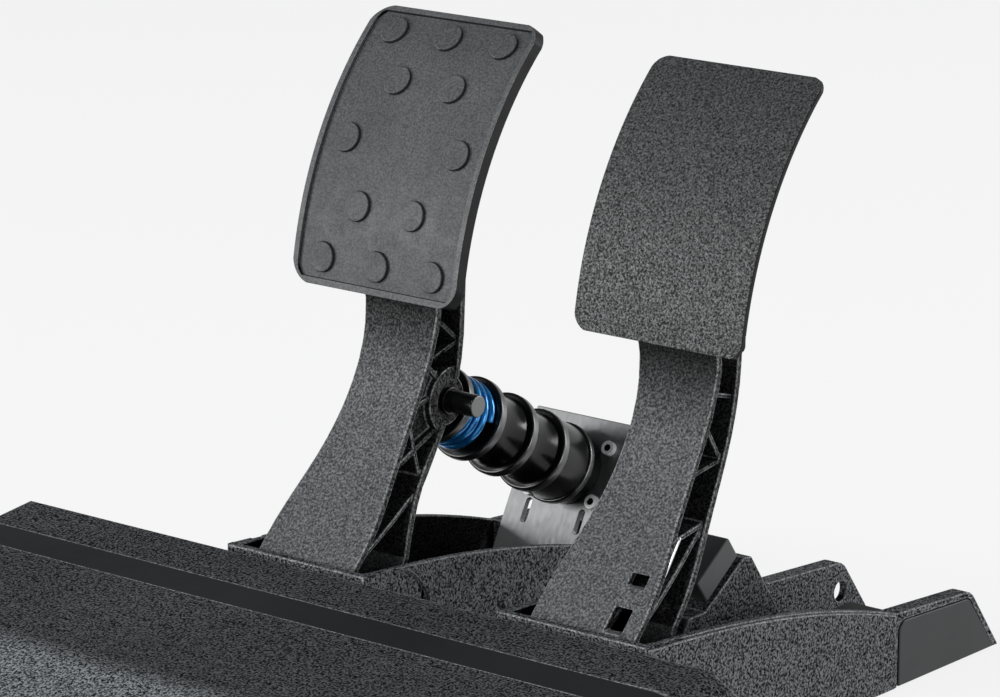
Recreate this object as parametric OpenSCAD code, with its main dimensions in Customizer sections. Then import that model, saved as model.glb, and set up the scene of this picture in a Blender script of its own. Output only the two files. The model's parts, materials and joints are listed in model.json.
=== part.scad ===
// Two-pedal set for a driving simulator. The brake works against a stack of spring, elastomers
// and load cell, the throttle against a torsion spring and a bumper, and both modules stand
// behind one sloping heel rest. Millimetres: +X is the driver's right, +Y points away from the
// driver and +Z is up. The origin is on the floor under the middle of the set.

/* [Layout] */
// Distance between the centre planes of the two pedals
pedal_spacing = 120; // [112:1:150]
// From the brake's centre plane to the left end of the heel rest
heel_left = 127; // [90:1:160]
// From the throttle's centre plane to the right end of the heel rest
heel_right = 77; // [66:1:100]
// Depth of the heel rest, from its nose to the front of the modules
heel_depth = 165; // [150:1:200]
// Height of the rubber feet under the set
foot_h = 1.5; // [1:0.5:4]

/* [Heel rest] */
// Height of the heel rest's rear edge above its underside
heel_h = 48.6; // [44:0.2:49.4]
// Slope of the large top panel in degrees
heel_slope = 7; // [4:0.5:9]
// Depth of the large top panel, from the rear edge to the fold
heel_panel = 96; // [85:1:110]
// Slope of the front ramp in degrees
ramp_slope = 20; // [14:1:22]
// Wall of the heel rest moulding
heel_wall = 3.5; // [3:0.5:5]
// Radius of the rounded right end
heel_end_r = 26; // [15:1:30]
// Distance of the inlay strip from the rear edge
strip_back = 22.5; // [18:0.5:35]
// Width of the inlay strip
strip_w = 15; // [8:0.5:20]
// Thickness of the inlay strip
strip_t = 1.5; // [1:0.1:2]

/* [Housings] */
// Width of a module's housing
housing_w = 62; // [56:1:70]
// Height of a housing at its front wall
housing_h = 50; // [49.6:0.2:56]
// Thickness of the side walls and the front wall
wall_t = 3; // [2.6:0.1:4]
// Thickness of the housing floor
floor_t = 4; // [3:0.5:6]
// Thickness of the tails
tail_w = 7; // [6:0.5:10]
// Length of the tails
tail_len = 64; // [58:1:70]
// How far the floor reaches back between the tails
tail_lap = 27; // [20:1:32]
// Diameter of the cross hole in each tail
tail_hole_d = 7.5; // [5:0.5:8.5]
// Diameter of the holes for bolting a module to a rig
rig_hole_d = 6.5; // [5:0.5:8.5]
// Length of the flank beside the throttle housing
fairing_len = 139; // [110:1:140]
// Thickness of the flank beside the throttle housing
fairing_t = 1.6; // [1.2:0.1:3]
// Thickness of the skin that closes a hollow tail
tail_skin = 3.4; // [2:0.1:4]

/* [Pivots] */
// Pivot axis behind the housing's front face
pivot_y = 13; // [13:0.5:16]
// Pivot axis above the housing's underside
pivot_z = 27; // [25:0.5:28]
// Diameter of the axles
axle_d = 10; // [8:0.5:10.5]
// Wall of the flanged bushes
bush_t = 1.5; // [1:0.25:2]
// Length of a bush in its hub
bush_len = 8; // [5:0.5:8.5]
// Full travel of the brake in degrees
brake_travel = 6; // [4:0.5:6.5]
// Full travel of the throttle in degrees
throttle_travel = 18; // [12:1:20]

/* [Arms] */
// Gap between an arm's foot and each wall of its housing
arm_room = 3; // [2.6:0.1:4]
// Width of an arm where it leaves the housing
arm_low_w = 43; // [38:1:44]
// Width of an arm at its waist
arm_waist_w = 31; // [28:1:36]
// Thickness of the flanges along an arm's front and rear
flange_t = 2.4; // [2:0.1:2.6]
// Thickness of the web in the middle of an arm
web_t = 3; // [2:0.5:4.5]
// Thickness of the ribs in an arm's sides
rib_t = 1.5; // [1.2:0.1:3]
// How far the ribs lie inside an arm's sides
rib_inset = 1.5; // [1:0.5:5]

/* [Pedal plates] */
// Width of a pedal plate
plate_w = 69; // [60:1:80]
// Thickness of a pedal plate
plate_t = 2; // [1.6:0.2:3]
// Radius of the plates' curved front
plate_r = 135.4; // [130:0.2:142]
// Corner radius of a plate
plate_corner = 6.5; // [4:0.5:12]
// Thickness of the rubber in front of the brake plate
pad_t = 1.3; // [1:0.1:3]
// Width of rubber beyond the plate's edges
pad_wrap = 2.4; // [2:0.2:4]
// Height of the pad's studs and rim
stud_h = 1.2; // [0.8:0.1:2.5]
// Diameter of the studs
stud_d = 10.8; // [8:0.2:13]

/* [Brake stack] */
// Diameter of the clevis pin
pin_d = 8; // [6:0.5:9]
// Diameter of the push rod inside the stack
rod_d = 8; // [6:0.5:9]
// Wire of the brake spring
spring_wire = 2.6; // [2:0.1:2.7]
// Mean diameter of the brake spring
spring_d = 24; // [20:0.5:25]
// Turns of the brake spring
spring_turns = 3; // [2.5:0.25:3]
// Length of the brake spring at rest
spring_len = 14.7; // [12.6:0.1:16]
// Diameter of the spacer rings and the cup
ring_d = 30.6; // [29:0.2:33]
// Thickness of the spacer rings
ring_t = 4; // [3:0.25:5]
// Diameter of the elastomers
elastomer_d = 26.4; // [22:0.2:28]
// Length of each elastomer at rest
elastomer_len = 16.2; // [14:0.2:17]
// Width of the load cell's bracket, as far as the tails leave room for it
bracket_w = 47; // [40:1:52]
// Width of the load cell
cell_w = 36; // [35:0.5:38]
// Thickness of the bracket's steel
bracket_t = 2.5; // [2:0.25:4]
// Length of the bracket's foot
bracket_foot_len = 25; // [22:0.5:32]

/* [Throttle spring] */
// Wire of the torsion spring
torsion_wire = 1.8; // [1.4:0.1:1.9]
// Gap between the axle and the torsion spring's coils
torsion_gap = 0.7; // [0.5:0.1:0.8]

/* [Hidden] */
$fn = 48;

// Clearances: running fit, parts that only pass each other, and parts that are fixed together
run_gap = 0.04;
free_gap = 0.5;
seat_gap = 0.05;
// Cuts reach this far past the faces that they open
past = 1;

// Pivots
inner_w = housing_w - 2 * wall_t;
arm_foot_w = inner_w - 2 * arm_room;
pivot = [pivot_y, pivot_z];
axle_r = axle_d / 2;
bush_r = axle_r + bush_t;
bush_flange_r = bush_r + 2;
hub_r = bush_r + 3;

// Curves of an arm, as points behind and above its pivot
arm_front = [for (p = [[-8.3, 20.6], [8, 38], [41.5, 72], [43.1, 99.3]]) pivot + p];
throttle_rear = [for (p = [[15.5, 20.1], [42, 53.5], [57.5, 70], [56.5, 99.9]]) pivot + p];
brake_rear = [for (p = [[22, 20.1], [26, 52], [63, 52], [58.5, 99.9]]) pivot + p];
plate_axis = pivot + [29.8 + plate_r, 93];
plate_from = 7;
plate_to = 48.9;
plate_mid = (plate_from + plate_to) / 2;
plate_arc = plate_to - plate_from;
head_from = 12.9;
head_to = 39.7;
pocket_to = 32.5;
plate_back_r = plate_r - plate_t;
pad_floor_r = plate_r + pad_t;
foot_tilt = 25;

// The brake stack lies on one line through the clevis pin, measured along it from the pin
pin_at = pivot + [53.7, 67.6];
stack_pitch = 28.5;
pin_r = pin_d / 2;
rod_r = rod_d / 2;
boss_r = 9;
ear_in = 8.5;
ear_out = 12;
ear_room_r = 8;
ear_wall = 4.5;
pin_end = 14;
seat_at = boss_r + free_gap;
seat_t = 3.5;
spring_at = seat_at + seat_t;
ring_1_at = spring_at + spring_len;
front_elastomer_at = ring_1_at + ring_t;
ring_2_at = front_elastomer_at + elastomer_len;
rear_elastomer_at = ring_2_at + ring_t;
cup_at = rear_elastomer_at + elastomer_len;
cup_len = 27;
cup_rim_at = 17.1;
cup_rim_w = 3;
cup_neck_r = 13.4;
cup_bore = 23;
bracket_at = cup_at + cup_len + 0.3;
cell_at = bracket_at + bracket_t;
cell_t = 7;
cell_h = 27;
cell_screw = [14.5, 10.3];
button_r = 6;
rod_end = cup_at + 6;
stack_dir = [cos(stack_pitch), -sin(stack_pitch)];
stack_up = [sin(stack_pitch), cos(stack_pitch)];
pin_arm = pin_at - pivot;
pin_drop = pin_arm * stack_up * (1 - cos(brake_travel)) + pin_arm * stack_dir * sin(brake_travel);

// Bracket: a plate square to the stack and a foot on the floor, bent from one strip
bracket_top = 20.6;
bracket_width = min(bracket_w, housing_w - 2 * tail_w - 2 * free_gap);
bracket_bend = 3;
bracket_face = pin_at + bracket_at * stack_dir;
bracket_low = (floor_t + bracket_t - bracket_face[1]) / cos(stack_pitch);
bracket_corner = bracket_face + bracket_low * stack_up;
bracket_foot_end = bracket_corner[0] + bracket_foot_len;
bracket_bolt_y = bracket_foot_end - 8;
bracket_bolt_x = 9;

// A housing is as long as what it holds: the stack, its bracket, the socket and the tails
socket_w = 15;
socket_h = 13;
socket_d = 15;
floor_len = bracket_foot_end + free_gap + socket_d;
tail_y = floor_len - tail_lap;
housing_len = tail_y + tail_len;
tail_h = 27;
wall_recess_r = 22.4;
wall_recess = 1;

// Places of the modules
heel_w = heel_left + pedal_spacing + heel_right;
brake_x = heel_left - heel_w / 2;
throttle_x = brake_x + pedal_spacing;
front_y = heel_depth - (heel_depth + housing_len) / 2;

// Rig holes and screws of the housings
rig_hole_x = 18;
rig_hole_y = [50, 110];
rig_boss_h = 6;
front_screw = [20, 14];
screw_r = 2.5;

// Colours
plastic = [0.24, 0.25, 0.25];
smooth_plastic = [0.27, 0.28, 0.29];
rubber = [0.36, 0.37, 0.38];
black = [0.07, 0.07, 0.08];
steel = [0.72, 0.73, 0.74];
spring_blue = [0.08, 0.25, 0.75];
bronze = [0.62, 0.5, 0.3];
board_green = [0.08, 0.3, 0.2];

// Vectors and curves
function unit(v) = v / norm(v);
function rear_of(d) = [d[1], -d[0]];
function polar(c, r, a) = c + r * [cos(a), sin(a)];
function curve(p, t) =
  pow(1 - t, 3) * p[0] + 3 * pow(1 - t, 2) * t * p[1] + 3 * (1 - t) * t * t * p[2] + t * t * t * p[3];
function curve_dir(p, t) =
  unit((1 - t) * (1 - t) * (p[1] - p[0]) + 2 * (1 - t) * t * (p[2] - p[1]) + t * t * (p[3] - p[2]));
function curve_side(p, t, d) = curve(p, t) + d * rear_of(curve_dir(p, t));
function curve_points(p, d, from = 0, to = 1, n = 14) =
  [for (i = [0:n]) curve_side(p, from + (to - from) * i / n, d)];
function reversed(list) = [for (i = [len(list) - 1:-1:0]) list[i]];
function arc_points(c, r, from, to, n = 12) = [for (i = [0:n]) polar(c, r, from + (to - from) * i / n)];

// Outline with rounded corners, from points [a, b, radius]
function corner(a, v, b, r, n = 5) =
  let (
    p = [v[0], v[1]],
    da = unit([a[0], a[1]] - p),
    db = unit([b[0], b[1]] - p),
    half = acos(da * db) / 2,
    c = p + unit(da + db) * r / sin(half),
    s = p + da * r / tan(half),
    e = p + db * r / tan(half),
    from = atan2(s[1] - c[1], s[0] - c[0]),
    turn = atan2(e[1] - c[1], e[0] - c[0]) - from,
    sweep = turn > 180 ? turn - 360 : turn < -180 ? turn + 360 : turn
  )
  [for (i = [0:n]) polar(c, r, from + sweep * i / n)];
function outline(pts) =
  let (n = len(pts))
  [for (i = [0:n - 1])
    for (q = pts[i][2] > 0 ? corner(pts[(i + n - 1) % n], pts[i], pts[(i + 1) % n], pts[i][2])
                           : [[pts[i][0], pts[i][1]]]) q];

// Tube swept along a path whose runs all lie square to one direction
function path_dir(path, i) =
  unit(path[min(i + 1, len(path) - 1)] - path[max(i - 1, 0)]);
function tube_points(path, across, r, sides) =
  [for (i = [0:len(path) - 1])
    let (t = path_dir(path, i), n = unit(cross(t, across)), b = cross(n, t))
    for (k = [0:sides - 1]) path[i] + r * (cos(360 * k / sides) * n + sin(360 * k / sides) * b)];
function tube_faces(rings, sides) = concat(
  [for (k = [1:sides - 2]) [0, k + 1, k]],
  [for (i = [0:rings - 2]) for (k = [0:sides - 1])
    let (a = i * sides + k, b = i * sides + (k + 1) % sides)
    each [[a, b, a + sides], [b, b + sides, a + sides]]],
  [for (k = [1:sides - 2]) [for (q = [0, k, k + 1]) (rings - 1) * sides + q]]
);
function self_gap(path, r, skip) =
  let (last = len(path) - 1)
  min([for (i = [0:last]) for (j = [i + skip:1:last]) norm(path[i] - path[j])]) - 2 * r;
module tube(path, across, r, sides = 6) {
  polyhedron(tube_points(path, across, r, sides), tube_faces(len(path), sides), convexity = 8);
}

// Frames: the set, each module, and the brake stack with Z along it
module in_set() { translate([0, front_y, foot_h]) children(); }
module in_brake() { translate([brake_x, front_y, foot_h]) children(); }
module in_throttle() { translate([throttle_x, front_y, foot_h]) children(); }
module on_stack(u = 0) {
  in_brake()
    translate([0, pin_at[0], pin_at[1]])
      rotate([-90 - stack_pitch, 0, 0])
        translate([0, 0, u])
          children();
}
module side_plate(x0, x1) { translate([x0, 0, 0]) rotate([90, 0, 90]) linear_extrude(x1 - x0) children(); }
module cross_pin(at, r, x0, x1) {
  translate([x0, at[0], at[1]]) rotate([0, 90, 0]) cylinder(r = r, h = x1 - x0);
}
module ring(r_out, r_in, h) {
  difference() {
    cylinder(r = r_out, h = h);
    translate([0, 0, -past]) cylinder(r = r_in, h = h + 2 * past);
  }
}
module rounded_square(w, h, r) {
  square([w - 2 * r, h], center = true);
  square([w, h - 2 * r], center = true);
  for (x = [-1, 1], y = [-1, 1]) translate([x * (w / 2 - r), y * (h / 2 - r)]) circle(r);
}
// Ring with rounded outer edges
module soft_ring(r_out, r_in, h, edge) {
  rotate_extrude()
    difference() {
      union() {
        translate([r_in, edge]) square([r_out - r_in, h - 2 * edge]);
        translate([r_in, 0]) square([r_out - r_in - edge, h]);
        for (z = [edge, h - edge]) translate([r_out - edge, z]) circle(edge);
      }
      translate([r_in - 2 * edge, -past]) square([2 * edge, h + 2 * past]);
    }
}

// Heel rest
heel_gap = 1;
function panel_z(y) = heel_h + (y + heel_gap) * tan(heel_slope);
fold_y = -heel_panel;
nose_z = panel_z(fold_y) - (heel_depth - heel_panel) * tan(ramp_slope);
heel_left_x = -heel_w / 2;
heel_right_x = heel_w / 2;
heel_edge_r = 4;
heel_reach = 260;

// Prism of the heel rest's width under one sloping panel through the fold, rounded at both ends
module sloped_prism(slope, inset) {
  drop = 120;
  translate([0, fold_y, panel_z(fold_y)])
    rotate([slope, 0, 0])
      translate([0, heel_reach, 0])
        rotate([90, 0, 0])
          linear_extrude(2 * heel_reach)
            difference() {
              translate([heel_left_x + inset, -drop]) square([heel_w - 2 * inset, drop - inset]);
              end_corner(heel_right_x - inset, -inset, -1, heel_end_r - inset);
              end_corner(heel_left_x + inset, -inset, 1, max(heel_edge_r - inset, 0.5));
            }
}
module end_corner(x, z, side, r) {
  difference() {
    translate([side > 0 ? x - past : x - r, z - r]) square([r + past, r + past]);
    translate([x + side * r, z - r]) circle(r);
  }
}
module heel_body(inset) {
  intersection() {
    side_plate(heel_left_x + inset, heel_right_x - inset)
      polygon(outline([
        [-heel_gap - inset, inset > 0 ? -past : 0, 0],
        [-heel_gap - inset, panel_z(-heel_gap) - inset, 1],
        [fold_y, panel_z(fold_y) - inset, 12],
        [-heel_depth + inset, nose_z - inset, max(5 - inset, 1)],
        [-heel_depth + inset, inset > 0 ? -past : 0, 0]
      ]));
    sloped_prism(heel_slope, inset);
    sloped_prism(ramp_slope, inset);
  }
}
module strip_shape(gap) {
  end_room = 8;
  intersection() {
    difference() {
      heel_body(0);
      heel_body(strip_t + gap);
    }
    translate([heel_left_x + heel_edge_r - gap, -strip_back - strip_w - gap, heel_h / 4])
      cube([heel_w - heel_edge_r - end_room + 2 * gap, strip_w + 2 * gap, heel_h]);
  }
}
heel_cover_t = 2;
heel_rib_step = 54;
boss_len = 14;
module at_front_screws() {
  for (m = [brake_x, throttle_x], s = [-1, 1])
    translate([m + s * front_screw[0], 0, front_screw[1]]) rotate([90, 0, 0]) children();
}
module heel_rest() {
  color(plastic) in_set() {
    difference() {
      union() {
        difference() {
          heel_body(0);
          heel_body(heel_wall);
        }
        intersection() {
          heel_body(0);
          union() {
            for (x = [heel_left_x + heel_rib_step:heel_rib_step:heel_right_x - heel_rib_step / 2])
              translate([x - 1, -heel_depth, heel_cover_t]) cube([2, heel_depth, heel_h]);
            translate([heel_left_x, -heel_panel, heel_cover_t]) cube([heel_w, 2, heel_h]);
            at_front_screws() cylinder(r = 6, h = boss_len);
          }
        }
        at_front_screws() cylinder(r = 6, h = heel_gap + 1);
      }
      at_front_screws()
        translate([0, 0, -past])
          cylinder(r = screw_r + seat_gap, h = boss_len + past - 2);
      strip_shape(seat_gap);
    }
  }
}
module heel_strip() {
  color([0.19, 0.21, 0.22]) in_set() strip_shape(0);
}
module heel_cover() {
  color(black) in_set()
    intersection() {
      heel_body(heel_wall + 0.2);
      translate([heel_left_x, -heel_depth, 0]) cube([heel_w, heel_depth, heel_cover_t]);
    }
}
module rubber_feet() {
  foot_r = 9;
  edge_x = heel_w / 2 - 24;
  color(black) translate([0, front_y, 0]) {
    for (x = [-edge_x, edge_x], y = [-heel_depth + 22, -24])
      translate([x, y, 0]) cylinder(r = foot_r, h = foot_h);
    for (x = [brake_x, throttle_x])
      translate([x, floor_len - 16, 0]) cylinder(r = foot_r, h = foot_h);
  }
}
module housing_screws() {
  color(steel) in_set() at_front_screws() {
    cylinder(r = screw_r, h = boss_len - 3);
    translate([0, 0, -wall_t - 3]) cylinder(r = 4.5, h = 3);
    translate([0, 0, -wall_t - past / 2]) cylinder(r = screw_r, h = wall_t + past);
  }
}

// Flank on the right wall of the throttle housing: a flat panel with pegs, under the wall's top edge
wall_top = [[0, housing_h], [50, housing_h - 2.2], [95, housing_h - 8.5], [tail_y, tail_h]];
fairing_rim = 0.6;
fairing_peg_r = 2.4;
fairing_pegs = [[36, 12], [36, 36], [92, 12], [92, 30]];
// Share of the wall's top curve at which it passes a distance y
function wall_top_at(y, lo = 0, hi = 1, n = 24) =
  n == 0 ? (lo + hi) / 2 :
  let (mid = (lo + hi) / 2)
  curve(wall_top, mid)[0] < y ? wall_top_at(y, mid, hi, n - 1) : wall_top_at(y, lo, mid, n - 1);
module fairing_profile() {
  last = wall_top_at(fairing_len);
  polygon(concat(
    [[fairing_rim, fairing_rim], [fairing_rim, housing_h - fairing_rim]],
    curve_points(wall_top, fairing_rim, 0.05, last, 16),
    [[curve_side(wall_top, last, fairing_rim)[0], fairing_rim]]
  ));
}
module side_fairing() {
  half = housing_w / 2;
  color(plastic) in_throttle() {
    side_plate(half, half + fairing_t) fairing_profile();
    for (p = fairing_pegs) cross_pin(p, fairing_peg_r, half - wall_t + 0.3, half + fairing_t / 2);
  }
}

// Housings
tail_slope = 1.34;
tail_rim = 3.5;
tail_rear_h = 24;
tail_hole_at = [housing_len - 19.2, 13.2];
cap_t = 2;
cap_inset = 2.4;
function tail_rear_y(z) = housing_len - z / tail_slope;
module wall_profile() {
  polygon(concat(
    [[0, 0]],
    curve_points(wall_top, 0, 0, 1, 16),
    outline_tail()
  ));
}
function outline_tail() =
  let (top = [tail_rear_y(tail_rear_h), tail_rear_h])
  concat(corner([tail_y, tail_h], top, [housing_len, 0], 7), [[housing_len, 0]]);
module tail_profile() {
  polygon(concat([[tail_y, 0], [tail_y, tail_h]], outline_tail()));
}
// The cap's recess is wider at the front, where it shows as a dark line
module cap_profile(gap, front_gap) {
  top = tail_rear_h - cap_inset;
  rear = -cap_inset * sqrt(1 + 1 / pow(tail_slope, 2));
  polygon(outline([
    [tail_y + 2.2 - front_gap, -gap, 0],
    [tail_y + 2.2 - front_gap, top + 2 + gap, 4],
    [tail_rear_y(top) + rear + gap, top + gap, 4],
    [tail_rear_y(0) + rear + gap, -gap, 0]
  ]));
}
// Hollow in a tail's outer face, open to the rear where no cap closes it
module tail_pocket(closed) {
  low = floor_t + 2;
  top = tail_rear_h - tail_rim;
  rear = closed ? -tail_rim * sqrt(1 + 1 / pow(tail_slope, 2)) : 2 * past;
  polygon(outline([
    [tail_y + tail_rim, low, 2], [tail_y + tail_rim, top, 2],
    [tail_rear_y(top) + rear, top, 0], [tail_rear_y(low) + rear, low, 0]
  ]));
}
module at_rig_holes() {
  for (s = [-1, 1], y = rig_hole_y) translate([s * rig_hole_x, y, 0]) children();
}
// A slab of the side wall's outer face, to a depth, on the right or the left
module outer_slab(side, depth) {
  half = housing_w / 2;
  side_plate(side > 0 ? half - depth : -half - past, side > 0 ? half + past : depth - half) children();
}
module housing(cap_side) {
  half = housing_w / 2;
  difference() {
    union() {
      for (s = [-1, 1]) {
        side_plate(s > 0 ? half - wall_t : -half, s > 0 ? half : wall_t - half) wall_profile();
        side_plate(s > 0 ? half - tail_w : -half, s > 0 ? half : tail_w - half) tail_profile();
      }
      translate([-half, 0, 0]) cube([housing_w, wall_t, housing_h]);
      translate([-half + 0.5, 0, 0]) cube([housing_w - 1, floor_len, floor_t]);
      at_rig_holes() cylinder(r = rig_hole_d / 2 + 3.2, h = floor_t + rig_boss_h);
    }
    cross_pin(pivot, axle_r + seat_gap, -half - past, half + past);
    for (s = [-1, 1]) outer_slab(s, wall_recess) translate(pivot) circle(wall_recess_r);
    cross_pin(tail_hole_at, tail_hole_d / 2, -half - past, half + past);
    at_rig_holes() translate([0, 0, -past]) cylinder(d = rig_hole_d, h = floor_t + rig_boss_h + 2 * past);
    for (s = [-1, 1])
      translate([s * front_screw[0], -past, front_screw[1]])
        rotate([-90, 0, 0])
          cylinder(r = screw_r + seat_gap, h = wall_t + 2 * past);
    outer_slab(cap_side, cap_t) cap_profile(0.3, 1);
    for (s = [-1, 1]) outer_slab(s, tail_w - tail_skin) tail_pocket(s == cap_side);
  }
}
module end_cap(side) {
  half = housing_w / 2;
  plug = 3;
  side_plate(side > 0 ? half - cap_t : -half, side > 0 ? half : cap_t - half) cap_profile(0, 0);
  cross_pin(
    tail_hole_at, tail_hole_d / 2 - seat_gap,
    side > 0 ? half - cap_t - plug : -half, side > 0 ? half : cap_t + plug - half);
}
clip_t = 0.7;
groove_depth = 0.8;
module axle() {
  half = housing_w / 2;
  groove = clip_t + 2 * seat_gap;
  inner = half - wall_recess;
  difference() {
    cross_pin(pivot, axle_r, -half, half);
    for (s = [-1, 1])
      translate([s > 0 ? inner : -inner - groove, pivot_y, pivot_z])
        rotate([0, 90, 0])
          ring(axle_r + past, axle_r - groove_depth, groove);
  }
}
module axle_clips() {
  half = housing_w / 2;
  inner = half - wall_recess + seat_gap;
  for (s = [-1, 1])
    translate([s > 0 ? inner : -inner - clip_t, pivot_y, pivot_z])
      rotate([0, 90, 0])
        difference() {
          ring(axle_r + 3, axle_r - groove_depth + seat_gap, clip_t);
          translate([-axle_r, 0, -past]) cube([2 * axle_r, 2 * axle_r, clip_t + 2 * past]);
        }
}
module bushes() {
  flange = (inner_w - arm_foot_w) / 2 - 0.3;
  for (s = [-1, 1])
    translate([s > 0 ? arm_foot_w / 2 - bush_len : -arm_foot_w / 2 - flange, pivot_y, pivot_z])
      rotate([0, 90, 0])
        difference() {
          union() {
            translate([0, 0, s > 0 ? 0 : flange]) cylinder(r = bush_r, h = bush_len);
            translate([0, 0, s > 0 ? bush_len : 0]) cylinder(r = bush_flange_r, h = flange);
          }
          translate([0, 0, -past]) cylinder(r = axle_r + run_gap, h = bush_len + flange + 2 * past);
        }
}

// Arms: one outline from the side and one from the front, with deep pockets left and right of a web
function head_point(r, a) = polar(plate_axis, r, 180 - a);
function chin(p) =
  let (end = head_point(plate_back_r, head_from))
  [p[3], p[3] + [1.2, 7.7], end + [3.4, -9], end];
function nape(p) =
  let (end = head_point(plate_back_r, head_to))
  [p[3], p[3] + [0.5, 23], end + [-7, -24], end];
foot_front = polar(pivot, hub_r, 180 - foot_tilt);
foot_rear = polar(pivot, hub_r, -foot_tilt);
function arm_outline(rear) = concat(
  [foot_front],
  curve_points(arm_front, 0),
  curve_points(chin(arm_front), 0, 0.1, 1, 6),
  [for (i = [1:8]) head_point(plate_back_r, head_from + (head_to - head_from) * i / 8)],
  reversed(curve_points(nape(rear), 0, 0.1, 0.9, 6)),
  reversed(curve_points(rear, 0)),
  [foot_rear]
);
function arm_pocket(rear) = concat(
  [foot_front + flange_t * rear_of(unit(arm_front[0] - foot_front))],
  curve_points(arm_front, flange_t),
  curve_points(chin(arm_front), flange_t, 0.15, 0.9, 5),
  [for (i = [1:6]) head_point(plate_back_r - flange_t, head_from + (pocket_to - head_from) * i / 6)],
  reversed(curve_points(nape(rear), -flange_t, 0.1, 0.62, 5)),
  reversed(curve_points(rear, -flange_t)),
  [foot_rear - flange_t * rear_of(unit(rear[0] - foot_rear))]
);
arm_side = [
  [arm_low_w / 2, pivot_z + 21], [arm_low_w / 2 + 1, pivot_z + 45],
  [arm_waist_w / 2 - 4, pivot_z + 48], [arm_waist_w / 2 + 0.7, pivot_z + 99.3]
];
head_w = arm_waist_w + 7;
module arm_front_view(inset) {
  top = head_point(plate_back_r, head_to)[1];
  outer = concat(
    [[arm_low_w / 2, 0]],
    curve_points(arm_side, 0),
    [[head_w / 2, top - 12], [head_w / 2 - 6, top + past]]
  );
  right = [for (p = outer) [p[0] - inset, p[1]]];
  polygon(concat(right, [for (p = reversed(right)) [-p[0], p[1]]]));
}
module bar(a, b, t) {
  n = rear_of(unit(b - a)) * t / 2;
  polygon([a + n, b + n, b - n, a - n]);
}
// A rib runs from the front flange at one height to the rear flange at another
module ribs(rear, pairs) {
  half = arm_foot_w / 2;
  for (p = pairs)
    side_plate(-half, half)
      bar(curve_side(arm_front, p[0], flange_t / 2), curve_side(rear, p[1], -flange_t / 2), rib_t);
}
module arm_blank(rear, pairs) {
  half = arm_foot_w / 2;
  intersection() {
    difference() {
      side_plate(-half, half) polygon(arm_outline(rear));
      side_plate(web_t / 2, half + past) polygon(arm_pocket(rear));
      side_plate(-half - past, -web_t / 2) polygon(arm_pocket(rear));
    }
    arm_prism(0);
  }
  intersection() {
    ribs(rear, pairs);
    arm_prism(rib_inset);
  }
  cross_pin(pivot, hub_r, -half, half);
}
module arm_prism(inset) {
  depth = 140;
  translate([0, depth, 0]) rotate([90, 0, 0]) linear_extrude(2 * depth) arm_front_view(inset);
}
module bush_bores() {
  half = arm_foot_w / 2;
  cross_pin(pivot, axle_r + 1, -half - past, half + past);
  cross_pin(pivot, bush_r, -half - past, bush_len - half);
  cross_pin(pivot, bush_r, half - bush_len, half + past);
}
stud_angles = [16.3, 25.1];
stud_x = 8;
weld_stud_r = 2.5;
nut_h = 3.2;
nut_r = 4.4;
module at_plate(a, x) {
  translate([x, plate_axis[0], plate_axis[1]])
    rotate([90, 0, 90])
      rotate([0, 0, 180 - a])
        rotate([0, 90, 0])
          children();
}
module at_weld_studs() {
  for (a = stud_angles, x = [-stud_x, stud_x]) at_plate(a, x) children();
}
module stud_bores() {
  spot_face = nut_h + 3;
  inner_r = plate_back_r - flange_t;
  at_weld_studs() {
    translate([0, 0, inner_r - 2]) cylinder(r = weld_stud_r + 2 * seat_gap, h = flange_t + 3);
    translate([0, 0, inner_r - spot_face]) cylinder(r = nut_r + free_gap, h = spot_face);
  }
}

// Pedal plates and the rubber pad
module arc_slab(r0, r1, w, a0, a1) {
  translate([0, plate_axis[0], plate_axis[1]])
    rotate([90, 0, 90])
      rotate([0, 0, 180 - a1])
        rotate_extrude(angle = a1 - a0, $fn = 180)
          translate([r0, -w / 2])
            square([r1 - r0, w]);
}
function arc_degrees(len, r) = len / r * 180 / PI;
// Slab with corners rounded along the normal at its middle, by a prism that is a little larger
module rounded_slab(r0, r1, w, wrap, corner) {
  loose = 0.3;
  more = arc_degrees(wrap, plate_r);
  high = 2 * r1 * sin(plate_arc / 2 + more);
  intersection() {
    arc_slab(r0, r1, w, plate_from - more, plate_to + more);
    at_plate(plate_mid, 0) linear_extrude(r1 + 20) rounded_square(w + loose, high + loose, corner);
  }
}
module pedal_plate() {
  rounded_slab(plate_back_r, plate_r, plate_w, 0, plate_corner);
  thread = flange_t + nut_h + 1;
  at_weld_studs()
    translate([0, 0, plate_back_r - thread])
      cylinder(r = weld_stud_r, h = thread + plate_t / 2);
}
module plate_nuts() {
  at_weld_studs()
    translate([0, 0, plate_back_r - flange_t - seat_gap - nut_h])
      difference() {
        cylinder(r = nut_r, h = nut_h, $fn = 6);
        translate([0, 0, -past]) cylinder(r = weld_stud_r + seat_gap, h = nut_h + 2 * past);
      }
}

// Brake
brake_ribs = [
  [1, 0.914], [0.82, 0.912], [0.82, 0.726], [0.652, 0.768], [0.624, 0.334], [0.426, 0.594], [0.04, 0.26]
];
module brake_arm() {
  half = arm_foot_w / 2;
  link = [for (t = [0.48, 0.8]) curve_side(arm_front, t, flange_t / 2)];
  color(plastic) in_brake() {
    difference() {
      union() {
        arm_blank(brake_rear, brake_ribs);
        intersection() {
          cross_pin(pin_at, ear_room_r + ear_wall, -half, half);
          side_plate(-half, half) polygon(arm_outline(brake_rear));
          arm_prism(0.6);
        }
        cross_pin(pin_at, boss_r, -ear_out, ear_out);
        side_plate(-ear_out, ear_out)
          polygon(concat(link, [pin_at + boss_r * stack_up, pin_at - boss_r * stack_up]));
      }
      bush_bores();
      stud_bores();
      cross_pin(pin_at, pin_r + run_gap, -half, half);
      cross_pin(pin_at, ear_room_r, ear_out, half + past);
      cross_pin(pin_at, ear_room_r, -half - past, -ear_out);
      fork_slot();
    }
  }
}
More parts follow.
